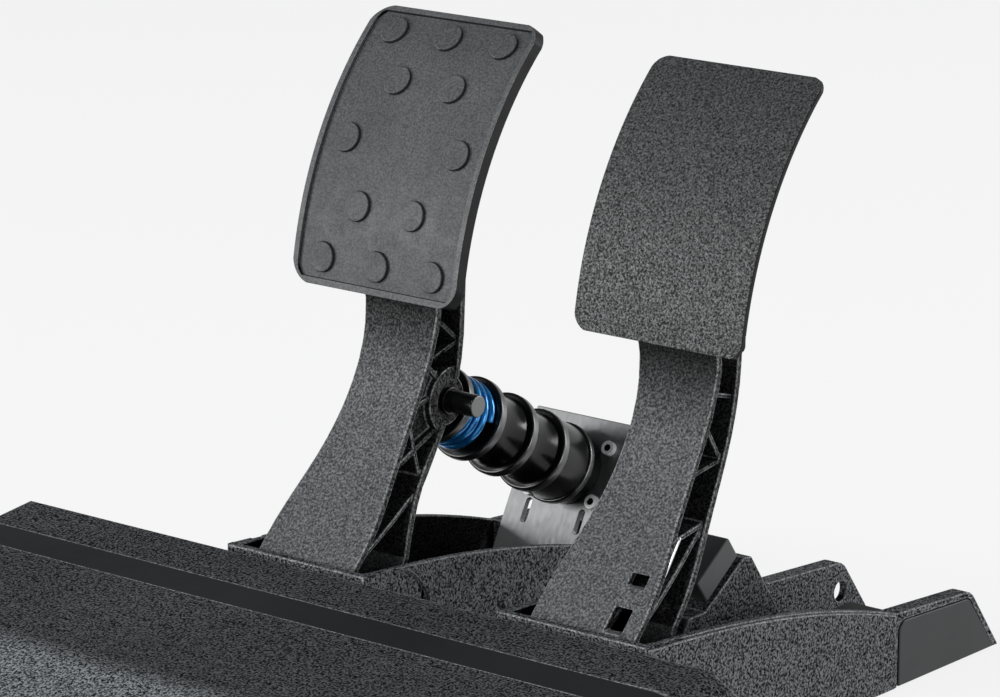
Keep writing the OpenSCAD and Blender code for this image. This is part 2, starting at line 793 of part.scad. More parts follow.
// Room for the push rod's eye between the ears
module fork_slot() {
  reach = 40;
  room = eye_r + 3.2;
  cross_pin(pin_at, room, -ear_in, ear_in);
  translate([-ear_in, pin_at[0], pin_at[1]])
    rotate([-90 - stack_pitch, 0, 0])
      translate([0, -room, 0])
        cube([2 * ear_in, 2 * room, reach]);
}
eye_r = 8;
module brake_plate() { color(black) in_brake() pedal_plate(); }
module brake_plate_nuts() { color(steel) in_brake() plate_nuts(); }
stud_side = plate_w / 2 - 10;
stud_end = 42.2;
stud_inner = 23;
stud_rows = [
  [-stud_end, [-stud_side, 0, stud_side]],
  [-stud_inner, [-stud_side / 2, stud_side / 2]],
  [0, [-stud_side, stud_side]],
  [stud_inner, [-stud_side / 2, stud_side / 2]],
  [stud_end, [-stud_side, 0, stud_side]]
];
rim_w = 2.3;
module pad_stud() {
  edge = min(0.8, stud_h / 2);
  sink = 0.9;
  translate([0, 0, pad_floor_r - sink]) soft_ring(stud_d / 2, 0, stud_h + sink, edge);
}
module brake_pad() {
  pad_w = plate_w + 2 * pad_wrap;
  pad_corner = plate_corner + pad_wrap;
  end_wrap = 2;
  color(rubber) in_brake() {
    difference() {
      rounded_slab(plate_back_r, pad_floor_r + stud_h, pad_w, end_wrap, pad_corner);
      rounded_slab(plate_back_r - past, plate_r + seat_gap, plate_w + 2 * seat_gap, 0.1, plate_corner);
      rounded_slab(
        pad_floor_r, pad_floor_r + stud_h + 4, pad_w - 2 * rim_w, end_wrap - rim_w, pad_corner - rim_w);
    }
    for (row = stud_rows, x = row[1])
      at_plate(plate_mid + arc_degrees(row[0], pad_floor_r), x) pad_stud();
  }
}
collar_w = 1.8;
collar_r = pin_r + 2.2;
module brake_clevis_pin() {
  head = 3;
  color(steel) in_brake() {
    cross_pin(pin_at, pin_r, -ear_out - 0.4, ear_out + pin_end);
    cross_pin(pin_at, collar_r, -ear_out - 0.4 - head, -ear_out - 0.4);
  }
}
module clevis_collar() {
  color(steel) in_brake()
    translate([ear_out + 0.4, pin_at[0], pin_at[1]])
      rotate([0, 90, 0])
        ring(pin_r + 0.9, pin_r + seat_gap, collar_w);
}
module brake_housing() {
  color(plastic) in_brake()
    difference() {
      housing(-1);
      at_bracket_bolts() floor_bore(floor_t);
    }
}
module brake_end_cap() { color(smooth_plastic) in_brake() end_cap(-1); }
module brake_axle() { color(steel) in_brake() axle(); }
module brake_axle_clips() { color(steel) in_brake() axle_clips(); }
module brake_bushes() { color(bronze) in_brake() bushes(); }

// Brake stack
module push_rod() {
  eye_w = 2 * (ear_in - free_gap);
  slot_r = pin_r + 0.3;
  color(black) on_stack() {
    difference() {
      union() {
        translate([-eye_w / 2, pin_drop / 2, 0]) rotate([0, 90, 0]) cylinder(r = eye_r, h = eye_w);
        translate([0, 0, eye_r - 2]) cylinder(r = rod_r + 1.5, h = seat_at - eye_r + 2);
        cylinder(r = rod_r, h = rod_end);
      }
      for (drop = [0, pin_drop])
        translate([-ear_in, drop, 0]) rotate([0, 90, 0]) cylinder(r = slot_r, h = 2 * ear_in);
      translate([-ear_in, 0, -slot_r]) cube([2 * ear_in, pin_drop, 2 * slot_r]);
    }
  }
}
module spring_seat() {
  color(black) on_stack(seat_at) soft_ring(14, rod_r + seat_gap, seat_t, 0.8);
}
spring_rings = 8;
spring_path = [
  for (i = [0:spring_turns * spring_rings])
    let (t = i / spring_rings)
    [spring_d / 2 * cos(360 * t), spring_d / 2 * sin(360 * t),
     spring_wire / 2 + 0.2 + (spring_len - spring_wire - 0.4) * t / spring_turns]
];
module brake_spring() {
  color(spring_blue) on_stack(spring_at) tube(spring_path, [0, 0, 1], spring_wire / 2);
}
module spacer_ring() { soft_ring(ring_d / 2, rod_r + run_gap, ring_t, 1); }
module spacer_ring_1() { color(black) on_stack(ring_1_at) spacer_ring(); }
module spacer_ring_2() { color(black) on_stack(ring_2_at) spacer_ring(); }
// Elastomer, drawn in a little at the middle
module elastomer() {
  waist = 0.7;
  r = elastomer_d / 2;
  rise = elastomer_len / 2;
  bow = (rise * rise + waist * waist) / (2 * waist);
  rotate_extrude()
    difference() {
      translate([rod_r + 0.5, 0]) square([r - rod_r - 0.5, elastomer_len]);
      translate([r - waist + bow, rise]) circle(bow, $fn = 160);
    }
}
module front_elastomer() { color(black) on_stack(front_elastomer_at) elastomer(); }
module rear_elastomer() { color(black) on_stack(rear_elastomer_at) elastomer(); }
module elastomer_cup() {
  r = ring_d / 2;
  color(black) on_stack(cup_at)
    difference() {
      union() {
        soft_ring(r, rod_r, ring_t, 1);
        translate([0, 0, ring_t - 1]) cylinder(r = r - 0.8, h = cup_rim_at - ring_t + 2);
        translate([0, 0, cup_rim_at]) soft_ring(r, rod_r, cup_rim_w, 0.8);
        cylinder(r = cup_neck_r, h = cup_len);
      }
      translate([0, 0, -past]) cylinder(r = rod_r + run_gap, h = cup_bore + past);
    }
}
module at_cell_screws() {
  for (x = [-1, 1], y = [-1, 1]) translate([x * cell_screw[0], y * cell_screw[1], 0]) children();
}
module load_cell() {
  button = cell_at - cup_at - cup_len;
  color(black) on_stack(cell_at)
    difference() {
      union() {
        linear_extrude(cell_t) rounded_square(cell_w, cell_h, 2.5);
        translate([0, 0, -button]) cylinder(r = button_r, h = button + 1);
      }
      at_cell_screws() translate([0, 0, -past]) cylinder(r = 1.55, h = cell_t + 2 * past);
    }
}
module load_cell_screws() {
  head_h = 2.4;
  color(steel) on_stack(bracket_at) at_cell_screws() {
    cylinder(r = 1.5, h = bracket_t + cell_t - 1);
    translate([0, 0, -head_h])
      difference() {
        cylinder(r = 2.7, h = head_h);
        translate([0, 0, -past]) cylinder(r = 1.4, h = past + 1.4, $fn = 6);
      }
  }
}
bracket_slot = [2.8, 14.8, 21.6];
bracket_slot_x = [-13.8, 10.8];
// Slot with round ends, from one distance along the bracket to another
module bracket_slots(h) {
  r = bracket_slot[0] / 2;
  for (x = bracket_slot_x) {
    for (y = [bracket_slot[1], bracket_slot[2]]) translate([x, y, 0]) cylinder(r = r, h = h);
    translate([x - r, bracket_slot[1], 0]) cube([2 * r, bracket_slot[2] - bracket_slot[1], h]);
  }
}
module load_cell_bracket() {
  back = bracket_t * stack_dir;
  color(steel) {
    in_brake()
      difference() {
        side_plate(-bracket_width / 2, bracket_width / 2)
          polygon([
            bracket_face + bracket_top * stack_up,
            bracket_corner,
            [bracket_corner[0] - 1.2, floor_t],
            [bracket_foot_end, floor_t],
            [bracket_foot_end, floor_t + bracket_t],
            bracket_corner + [bracket_bend + bracket_t / cos(stack_pitch), 0],
            bracket_corner + back + (bracket_bend + 1) * stack_up,
            bracket_face + back + bracket_top * stack_up
          ]);
        at_bracket_bolts() floor_bore(floor_t + bracket_t);
        translate([0, pin_at[0], pin_at[1]])
          rotate([-90 - stack_pitch, 0, 0])
            translate([0, 0, bracket_at - past]) {
              at_cell_screws() cylinder(r = 1.6, h = bracket_t + 2 * past);
              cylinder(r = button_r + 0.4, h = bracket_t + 2 * past);
              bracket_slots(bracket_t + 2 * past);
            }
      }
  }
}
module at_bracket_bolts() {
  for (x = [-bracket_bolt_x, bracket_bolt_x]) translate([x, bracket_bolt_y, 0]) children();
}
// Screw down through a seat into the housing floor
module floor_screw(seat) {
  translate([0, 0, 0.5]) cylinder(r = screw_r, h = seat);
  translate([0, 0, seat]) cylinder(r = screw_r + 1.3, h = 3);
}
module floor_bore(seat) {
  translate([0, 0, -past]) cylinder(r = screw_r + seat_gap, h = seat + 2 * past);
}
module bracket_bolts() {
  color(steel) in_brake() at_bracket_bolts() floor_screw(floor_t + bracket_t);
}
module circuit_board(w, d) {
  color(board_green) {
    translate([-w / 2, 0, 0]) cube([w, d, 1.6]);
    for (x = [-1, 1], y = [4, d - 4]) translate([x * (w / 2 - 4), y, -3]) cylinder(r = 2.2, h = 3);
    translate([-6, d / 2 - 5, 1.6]) cube([9, 9, 1.2]);
  }
}
module brake_amplifier_board() { in_brake() translate([0, 66, floor_t + 3]) circuit_board(24, 34); }
module signal_socket() {
  wall = 2;
  color(black)
    translate([-socket_w / 2, floor_len - socket_d, floor_t])
      difference() {
        cube([socket_w, socket_d, socket_h]);
        translate([wall, wall, wall + 1]) cube([socket_w - 2 * wall, socket_d, socket_h - 2 * wall - 1]);
        translate([socket_w / 2 - 3, socket_d - 8, wall]) cube([6, 8 + past, 2]);
      }
}
module brake_socket() { in_brake() signal_socket(); }

// Throttle
throttle_ribs = [[0.02, 0.34], [0.4, 0.34], [0.625, 0.6], [0.815, 0.6], [0.92, 0.875]];
torsion_x = [4, 14];
torsion_r = axle_r + torsion_gap + torsion_wire / 2;
torsion_room = max(hub_r, torsion_r + torsion_wire / 2) + 0.8;
leg_tip = curve_side(arm_front, 0.44, flange_t + torsion_wire / 2 + 0.3);
leg_reach = norm(leg_tip - pivot);
leg_angle = atan2(leg_tip[1] - pivot_z, leg_tip[0] - pivot_y) + acos(torsion_r / leg_reach);
leg_root = polar(pivot, torsion_r, leg_angle);
floor_leg = 29;
torsion_rings = 12;
torsion_curls = 3;
torsion_sweep = 270 - leg_angle + 360 * torsion_curls;
torsion_steps = round(torsion_sweep / 360 * torsion_rings);
torsion_path = concat(
  [for (k = [0:3]) [torsion_x[0], pivot_y + floor_leg * (1 - k / 4), pivot_z - torsion_r]],
  [for (i = [0:torsion_steps])
    let (s = i / torsion_steps, p = polar(pivot, torsion_r, 270 - torsion_sweep * s))
    [torsion_x[0] + (torsion_x[1] - torsion_x[0]) * s, p[0], p[1]]],
  [for (k = [1:4])
    let (p = leg_root + (leg_tip - leg_root) * k / 4) [torsion_x[1], p[0], p[1]]]
);
magnet_lug = polar(pivot, 14, -32);
magnet_r = 3;
lug_r = 4.6;
lug_from = 12;
module throttle_arm() {
  half = arm_foot_w / 2;
  windows = [[8.4, 7, pivot_z + 22.4, 7], [8.6, 7, pivot_z + 34.9, 4]];
  color(plastic) in_throttle()
    difference() {
      union() {
        arm_blank(throttle_rear, throttle_ribs);
        cross_pin(magnet_lug, lug_r, -half, -lug_from);
        side_plate(-half, -lug_from) bar(pivot, magnet_lug, 2 * lug_r);
      }
      bush_bores();
      stud_bores();
      cross_pin(pivot, torsion_room, torsion_x[0] - torsion_wire, torsion_x[1] + torsion_wire);
      side_plate(torsion_x[1] - torsion_wire, torsion_x[1] + torsion_wire)
        bar(leg_root, leg_tip + 2 * unit(leg_tip - leg_root), torsion_wire + 0.5);
      cross_pin(magnet_lug, magnet_r + seat_gap, -half - past, 3 - half);
      for (w = windows)
        translate([w[0], 0, w[2]]) cube([w[1], curve(arm_front, 0.3)[0] + 3, w[3]]);
    }
}
module throttle_magnet() {
  color(steel) in_throttle() cross_pin(magnet_lug, magnet_r, -arm_foot_w / 2, 2.9 - arm_foot_w / 2);
}
module throttle_sensor_board() {
  size = [20, 22];
  board_t = 1.4;
  chip = 4;
  color(board_green) in_throttle() {
    translate([-inner_w / 2, pivot_y + bush_flange_r + free_gap, magnet_lug[1] - 13])
      cube([board_t, size[0], size[1]]);
    translate([-inner_w / 2, magnet_lug[0] - chip / 2, magnet_lug[1] - 3 - chip / 2])
      cube([board_t + 0.8, chip, chip]);
  }
}
module throttle_plate() { color(plastic) in_throttle() pedal_plate(); }
module throttle_plate_nuts() { color(steel) in_throttle() plate_nuts(); }
module throttle_return_spring() {
  color(steel) in_throttle() tube(torsion_path, [1, 0, 0], torsion_wire / 2);
}
// The bumper's face lies where the arm's rear comes at full travel
function pressed(p) = let (d = p - pivot) pivot + [
  d[0] * cos(throttle_travel) + d[1] * sin(throttle_travel),
  d[1] * cos(throttle_travel) - d[0] * sin(throttle_travel)
];
stop_x = 10;
stop_low = pressed(curve(throttle_rear, 0.2));
stop_high = pressed(curve(throttle_rear, 0.44));
stop_dir = unit(stop_high - stop_low);
stop_normal = rear_of(stop_dir);
stop_gap = 0.9;
bumper_t = 9.5;
bumper_mid = (stop_low + stop_high) / 2 + stop_gap * stop_normal;
bumper_len = 21;
module bumper_profile() {
  a = bumper_mid - bumper_len / 2 * stop_dir;
  b = bumper_mid + bumper_len / 2 * stop_dir;
  polygon(outline([
    [a[0], a[1], 1.2], [b[0], b[1], 1.2],
    [b[0] + bumper_t * stop_normal[0], b[1] + bumper_t * stop_normal[1], 1.2],
    [a[0] + bumper_t * stop_normal[0], a[1] + bumper_t * stop_normal[1], 1.2]
  ]));
}
stem_len = 2;
seat_mid = bumper_mid + (bumper_t + stem_len) * stop_normal;
module throttle_bumper() {
  color(smooth_plastic) in_throttle() {
    side_plate(-stop_x, stop_x) bumper_profile();
    side_plate(4 - stop_x, stop_x - 4)
      bar(bumper_mid + bumper_t / 2 * stop_normal, seat_mid, bumper_len * 0.6);
  }
}
// Bracket under the bumper: a moulded block, hollow from the left, with screws in its foot
stop_seat_low = seat_mid - bumper_len * 0.62 * stop_dir;
stop_seat_high = seat_mid + bumper_len * 0.62 * stop_dir;
stop_lip = stop_seat_low - 7 * stop_dir - 5 * stop_normal;
stop_front = stop_lip[0] - 5;
stop_rear = stop_seat_high[0] + 29;
stop_foot_t = 4;
stop_wall = 4;
module at_stop_screws() {
  for (x = [-6, 2], y = [stop_front + 12, stop_rear - 16]) translate([x, y, 0]) children();
}
module throttle_stop_bracket() {
  color(plastic) in_throttle()
    difference() {
      side_plate(-stop_x, stop_x)
        polygon([
          [stop_front, floor_t], [stop_front, stop_lip[1] - 7], stop_lip, stop_seat_low,
          stop_seat_high + [0, -1.3], stop_seat_high + [4.5, -1.9], stop_seat_high + [22, -27],
          [stop_rear, floor_t]
        ]);
      side_plate(-stop_x - past, stop_x - stop_wall)
        polygon([
          [stop_front + stop_wall, floor_t + stop_foot_t], [stop_front + stop_wall, stop_lip[1] - 16],
          stop_seat_high + [-8, -12], stop_seat_high + [14, -23], [stop_rear - 8, floor_t + stop_foot_t]
        ]);
      at_stop_screws() floor_bore(floor_t + stop_foot_t);
    }
}
module stop_bracket_screws() {
  color(steel) in_throttle() at_stop_screws() floor_screw(floor_t + stop_foot_t);
}
// Post under the torsion spring's floor leg
leg_post = [6, 6];
module throttle_housing() {
  color(plastic) in_throttle()
    difference() {
      union() {
        housing(1);
        translate([torsion_x[0] - leg_post[0] / 2, pivot_y + floor_leg - leg_post[1], floor_t])
          cube([leg_post[0], leg_post[1], pivot_z - torsion_r - torsion_wire / 2 - 0.2 - floor_t]);
      }
      at_stop_screws() floor_bore(floor_t);
      for (p = fairing_pegs)
        cross_pin(p, fairing_peg_r + seat_gap, housing_w / 2 - wall_t - past, housing_w / 2 + past);
    }
}
module throttle_end_cap() { color(smooth_plastic) in_throttle() end_cap(1); }
module throttle_axle() { color(steel) in_throttle() axle(); }
module throttle_axle_clips() { color(steel) in_throttle() axle_clips(); }
module throttle_bushes() { color(bronze) in_throttle() bushes(); }
module throttle_socket() { in_throttle() signal_socket(); }

// Least gap of each wound spring to itself
echo(brake_spring_gap = self_gap(spring_path, spring_wire / 2, 5));
echo(return_spring_gap = self_gap(torsion_path, torsion_wire / 2, 7));

heel_rest();
heel_strip();
heel_cover();
side_fairing();
rubber_feet();
housing_screws();
brake_housing();
brake_end_cap();
brake_axle();
brake_axle_clips();
brake_bushes();
brake_arm();
brake_plate();
brake_plate_nuts();
brake_pad();
brake_clevis_pin();
clevis_collar();
push_rod();
spring_seat();
brake_spring();
spacer_ring_1();
front_elastomer();
spacer_ring_2();
rear_elastomer();
elastomer_cup();
load_cell();
load_cell_screws();
load_cell_bracket();
bracket_bolts();
brake_amplifier_board();
brake_socket();
throttle_housing();
throttle_end_cap();
throttle_axle();
throttle_axle_clips();
throttle_bushes();
throttle_arm();
throttle_plate();
throttle_plate_nuts();
throttle_return_spring();
throttle_stop_bracket();
stop_bracket_screws();
throttle_bumper();
throttle_magnet();
throttle_sensor_board();
throttle_socket();
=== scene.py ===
"""Looks of the two-pedal set: procedural materials, rounded edges, springs, rubber, light and camera."""

import json
import math

import bmesh
import bpy
import numpy as np
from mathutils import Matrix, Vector
from mathutils.bvhtree import BVHTree


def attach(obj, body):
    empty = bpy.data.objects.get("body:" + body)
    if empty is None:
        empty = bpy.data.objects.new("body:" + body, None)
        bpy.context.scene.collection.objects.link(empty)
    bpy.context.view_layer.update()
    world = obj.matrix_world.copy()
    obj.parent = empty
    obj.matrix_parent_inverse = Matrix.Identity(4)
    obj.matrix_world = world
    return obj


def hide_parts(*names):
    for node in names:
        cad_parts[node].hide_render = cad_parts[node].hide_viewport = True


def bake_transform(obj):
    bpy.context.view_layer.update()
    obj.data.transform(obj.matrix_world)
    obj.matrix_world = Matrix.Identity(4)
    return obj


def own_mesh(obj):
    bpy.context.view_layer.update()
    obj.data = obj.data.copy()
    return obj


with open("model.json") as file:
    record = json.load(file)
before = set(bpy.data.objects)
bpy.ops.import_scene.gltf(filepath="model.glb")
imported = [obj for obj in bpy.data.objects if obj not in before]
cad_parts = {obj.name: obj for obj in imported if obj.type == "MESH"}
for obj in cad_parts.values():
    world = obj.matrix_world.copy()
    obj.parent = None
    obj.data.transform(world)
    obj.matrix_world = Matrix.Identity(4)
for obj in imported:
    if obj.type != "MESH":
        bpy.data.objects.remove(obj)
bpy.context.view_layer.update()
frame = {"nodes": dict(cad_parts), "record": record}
scene = bpy.context.scene
MM = 0.001

# Places of the modules and the stack, in millimetres, as in the part's source
BRAKE = np.array((-35.0, -19.9603, 1.5))
THROTTLE = np.array((85.0, -19.9603, 1.5))
PIVOT = np.array((13.0, 27.0))
PIN = np.array((66.7, 94.6))
PITCH = math.radians(28.5)
STACK_DIR = np.array((0.0, math.cos(PITCH), -math.sin(PITCH)))
STACK_DOWN = np.array((0.0, -math.sin(PITCH), -math.cos(PITCH)))

# Places along the stack from the clevis pin, and lengths at rest and fully pressed
SPRING_AT, SPRING_LENGTH, SPRING_PRESSED = 13.0, 14.7, 12.3
FRONT_ELASTOMER_AT, REAR_ELASTOMER_AT = 31.7, 51.9
ELASTOMER_LENGTH, ELASTOMER_PRESSED = 16.2, 13.0
CELL_SCREW_X, CELL_SCREW_Y, CELL_SCREW_HEAD = 14.5, 10.3, (93.1, 94.7)

# The pad's curve, its levels and its outline
PLATE_AXIS = np.array((178.2, 120.0))
PLATE_MID = math.radians(27.95)
PAD_FLOOR, PAD_TOP = 136.7, 137.9
PAD_HALF, PAD_CORNER = np.array((36.9, 51.2)), 8.9

# Outlines of the arms' fronts and backs
ARM_FRONT = np.array([(-8.3, 20.6), (8.0, 38.0), (41.5, 72.0), (43.1, 99.3)]) + PIVOT
BRAKE_REAR = np.array([(22.0, 20.1), (26.0, 52.0), (63.0, 52.0), (58.5, 99.9)]) + PIVOT
THROTTLE_REAR = np.array([(15.5, 20.1), (42.0, 53.5), (57.5, 70.0), (56.5, 99.9)]) + PIVOT

# Rounding: least angle of an edge, and limits as shares of a round's width
ROUND_FROM = math.radians(32.0)
SMOOTH_TO = math.radians(40.0)
LEAST_ROOM, MOST_DEPARTURE, FLAW_REACH, ROUND_TRIES = 0.35, 0.6, 1.6, 8


# Camera: the photograph's angle, for a picture of 1000 by 697
def make_camera():
    data = bpy.data.cameras.new("camera")
    data.sensor_width = 36.0
    data.lens = 166.2
    data.clip_start, data.clip_end = 0.05, 60.0
    cam = bpy.data.objects.new("camera", data)
    scene.collection.objects.link(cam)
    cam.location = (0.9721, -1.1337, 0.5109)
    cam.rotation_mode = "QUATERNION"
    cam.rotation_quaternion = (-Vector((0.6155, -0.7479, 0.2487))).to_track_quat("-Z", "Y")
    scene.camera = cam


# Materials
class Nodes:
    """A material's node tree with short calls for the nodes used here."""

    def __init__(self, name):
        self.material = bpy.data.materials.new(name)
        self.material.use_nodes = True
        self.tree = self.material.node_tree
        self.tree.nodes.clear()
        out = self.add("ShaderNodeOutputMaterial")
        self.bsdf = self.add("ShaderNodeBsdfPrincipled")
        self.join(self.bsdf.outputs[0], out.inputs[0])
        self.coords = self.add("ShaderNodeTexCoord").outputs["Object"]

    def add(self, kind, **props):
        node = self.tree.nodes.new(kind)
        for name, value in props.items():
            setattr(node, name, value)
        return node

    def join(self, a, b):
        self.tree.links.new(a, b)

    def put(self, socket, value):
        if isinstance(value, bpy.types.NodeSocket):
            self.join(value, socket)
        else:
            socket.default_value = value

    def set(self, **values):
        for name, value in values.items():
            self.put(self.bsdf.inputs[name.replace("_", " ")], value)

    def noise(self, scale, detail=2.0, rough=0.5, coords=None, distortion=0.0):
        n = self.add("ShaderNodeTexNoise")
        self.join(coords or self.coords, n.inputs["Vector"])
        n.inputs["Scale"].default_value = scale
        n.inputs["Detail"].default_value = detail
        n.inputs["Roughness"].default_value = rough
        n.inputs["Distortion"].default_value = distortion
        return n.outputs["Fac"]

    def stretch(self, factors):
        m = self.add("ShaderNodeMapping")
        self.join(self.coords, m.inputs["Vector"])
        m.inputs["Scale"].default_value = factors
        return m.outputs[0]

    def math(self, op, a, b):
        n = self.add("ShaderNodeMath", operation=op)
        self.put(n.inputs[0], a)
        self.put(n.inputs[1], b)
        return n.outputs[0]

    def span(self, value, lo, hi, to_lo, to_hi):
        n = self.add("ShaderNodeMapRange")
        for socket, v in zip(n.inputs, (value, lo, hi, to_lo, to_hi)):
            self.put(socket, v)
        return n.outputs[0]

    def ramp(self, value, stops):
        n = self.add("ShaderNodeValToRGB")
        self.join(value, n.inputs[0])
        ramp = n.color_ramp
        while len(ramp.elements) < len(stops):
            ramp.elements.new(0.5)
        for element, (at, colour) in zip(ramp.elements, stops):
            element.position = at
            element.color = (*colour, 1.0)
        return n.outputs[0]

    def tone(self, colour, factor):
        n = self.add("ShaderNodeMix", data_type="RGBA", blend_type="MULTIPLY")
        n.inputs[0].default_value = 1.0
        self.put(n.inputs[6], colour)
        self.put(n.inputs[7], factor)
        return n.outputs[2]

    def bump(self, height, strength, distance):
        n = self.add("ShaderNodeBump")
        n.inputs["Strength"].default_value = strength
        n.inputs["Distance"].default_value = distance
        self.join(height, n.inputs["Height"])
        return n.outputs[0]


def grey(level, cool=0.03):
    return (level * (1 - cool), level, level * (1 + cool))


def grained(name, dark, light, scale, bump, rough, level=0.3, contrast=0.1, painted_shading=None):
    """Moulded or coated surface with a fine spark-eroded grain: pale glossy ridges round dull dark pits, the
    pale and dark partly the grain's own tone and partly painted highlight and painted shade on the grain.

    Its last argument paints light or shade: an axis, two places along it in metres and the tone from the
    second on, above one for painted light and below one for painted shadow; it scales the gloss too.
    """
    n = Nodes(name)
    coarse = n.noise(scale, 0.6, 0.5, distortion=0.3)
    fine = n.noise(scale * 1.9, 0.0, 0.5)
    height = n.math("ADD", n.math("MULTIPLY", coarse, 0.7), n.math("MULTIPLY", fine, 0.3))
    low, high = 0.5 - contrast, 0.5 + contrast
    middle = tuple(0.66 * a + 0.34 * b for a, b in zip(dark, light))
    # Pale ridges and dark pits: partly the grain's own tone, partly painted highlight and painted shade on the
    # grain.
    colour = n.ramp(height, [(low, dark), (0.5, middle), (high, light)])
    tone = n.span(n.noise(11.0, 2.0, 0.5), 0.3, 0.7, 0.92, 1.08)
    gloss = n.span(height, low, high, 0.1 * level, 1.9 * level)
    # Painted light or painted shadow: tone and gloss are scaled along an axis, not lit by any lamp.
    if painted_shading:
        place = n.add("ShaderNodeSeparateXYZ")
        n.join(n.coords, place.inputs[0])
        painted_fade = n.span(place.outputs[painted_shading[0]], painted_shading[1], painted_shading[2], 1.0, painted_shading[3])
        tone = n.math("MULTIPLY", tone, painted_fade)
        gloss = n.math("MULTIPLY", gloss, painted_fade)
    n.set(
        Base_Color=n.tone(colour, tone),
        Roughness=n.span(height, low, high, rough[0], rough[1]),
        Specular_IOR_Level=gloss,
        Normal=n.bump(height, bump, 0.0004),
    )
    return n.material


def satin(name, base, rough, level=0.4, bump=0.05, scale=2600.0):
    """Smooth moulded plastic with a faint fine grain and slow tone changes."""
    n = Nodes(name)
    cloud = n.span(n.noise(22.0, 3.0, 0.5), 0.3, 0.7, 0.93, 1.07)
    fine = n.noise(scale, 1.0, 0.5)
    n.set(
        Base_Color=n.tone((*base, 1.0), cloud),
        Roughness=n.span(n.noise(60.0, 4.0, 0.6), 0.3, 0.7, rough - 0.05, rough + 0.06),
        Specular_IOR_Level=level,
        Normal=n.bump(fine, bump, 0.0001),
    )
    return n.material


def rubbery(name, dark, light, scale, bump, rough, level=0.3):
    """Rubber with a fine matte grain and faint pale scuffs."""
    n = Nodes(name)
    fine = n.noise(scale, 2.0, 0.6)
    colour = n.ramp(fine, [(0.36, dark), (0.64, light)])
    cloud = n.span(n.noise(26.0, 4.0, 0.6), 0.3, 0.7, 0.85, 1.17)
    n.set(
        Base_Color=n.tone(colour, cloud),
        Roughness=n.span(n.noise(160.0, 3.0, 0.5), 0.3, 0.7, rough - 0.07, rough + 0.07),
        Specular_IOR_Level=level,
        Normal=n.bump(fine, bump, 0.0002),
    )
    return n.material


def metal(name, base, rough, stretch=(1.0, 1.0, 1.0), scale=900.0, bump=0.08):
    """Metal with fine drawn or turned marks along one direction."""
    n = Nodes(name)
    marks = n.noise(scale, 3.0, 0.6, coords=n.stretch(stretch))
    spots = n.noise(45.0, 4.0, 0.6)
    n.set(
        Base_Color=n.tone((*base, 1.0), n.span(spots, 0.3, 0.7, 0.88, 1.08)),
        Metallic=1.0,
        Roughness=n.span(marks, 0.3, 0.7, rough - 0.06, rough + 0.08),
        Normal=n.bump(marks, bump, 0.0001),
    )
    return n.material


def board_material():
    """Green circuit board with paler tracks under the solder mask."""
    n = Nodes("board_green")
    tracks = n.noise(420.0, 0.0, 0.5, coords=n.stretch((1.0, 0.16, 1.0)))
    n.set(
        Base_Color=n.ramp(tracks, [(0.5, (0.006, 0.05, 0.024)), (0.53, (0.014, 0.10, 0.045))]),
        Roughness=0.42,
        Specular_IOR_Level=0.5,
        Normal=n.bump(tracks, 0.1, 0.0001),
    )
    return n.material


def blue_coat():
    """Glossy blue coating on spring wire."""
    n = Nodes("coat_blue")
    cloud = n.noise(240.0, 3.0, 0.5)
    n.set(
        Base_Color=n.ramp(cloud, [(0.35, (0.005, 0.19, 0.55)), (0.65, (0.012, 0.33, 0.8))]),
        Metallic=0.6,
        Roughness=n.span(cloud, 0.3, 0.7, 0.2, 0.3),
        Coat_Weight=1.0,
        Coat_Roughness=0.12,
    )
    return n.material


COARSE = (grey(0.003, 0.07), grey(0.155, 0.07), 1150.0, 0.9, (0.7, 0.45), 0.28, 0.12)
# A darker copy of the coarse plastic for the throttle stop bracket: painted shade.
STOP_PAINTED_SHADE = (grey(0.002, 0.06), grey(0.1, 0.06), 1150.0, 0.9, (0.7, 0.45), 0.25, 0.12)
# A darker copy of the coarse plastic for the heel rest: painted shade on its upward faces.
HEEL_PAINTED_SHADE = (grey(0.002, 0.07), grey(0.11, 0.07), 1250.0, 0.9, (0.7, 0.45), 0.28, 0.12)
ARM = (grey(0.05), grey(0.175), 1250.0, 0.6, (0.68, 0.55), 0.3, 0.15)
# Painted light: the heel rest's top past the fold, its front ramp, is 3.1 times lighter in tone and gloss,
# standing in for light from the front left.
PAINTED_LIGHT_PAST_FOLD = (1, -0.108, -0.119, 3.1)
# Painted shadow: the arms' forward faces darken to 0.22 of their tone and gloss just under the plates, where
# the plates' shadow falls.
PAINTED_SHADOW_UNDER_PLATE = (2, 0.104, 0.132, 0.22)

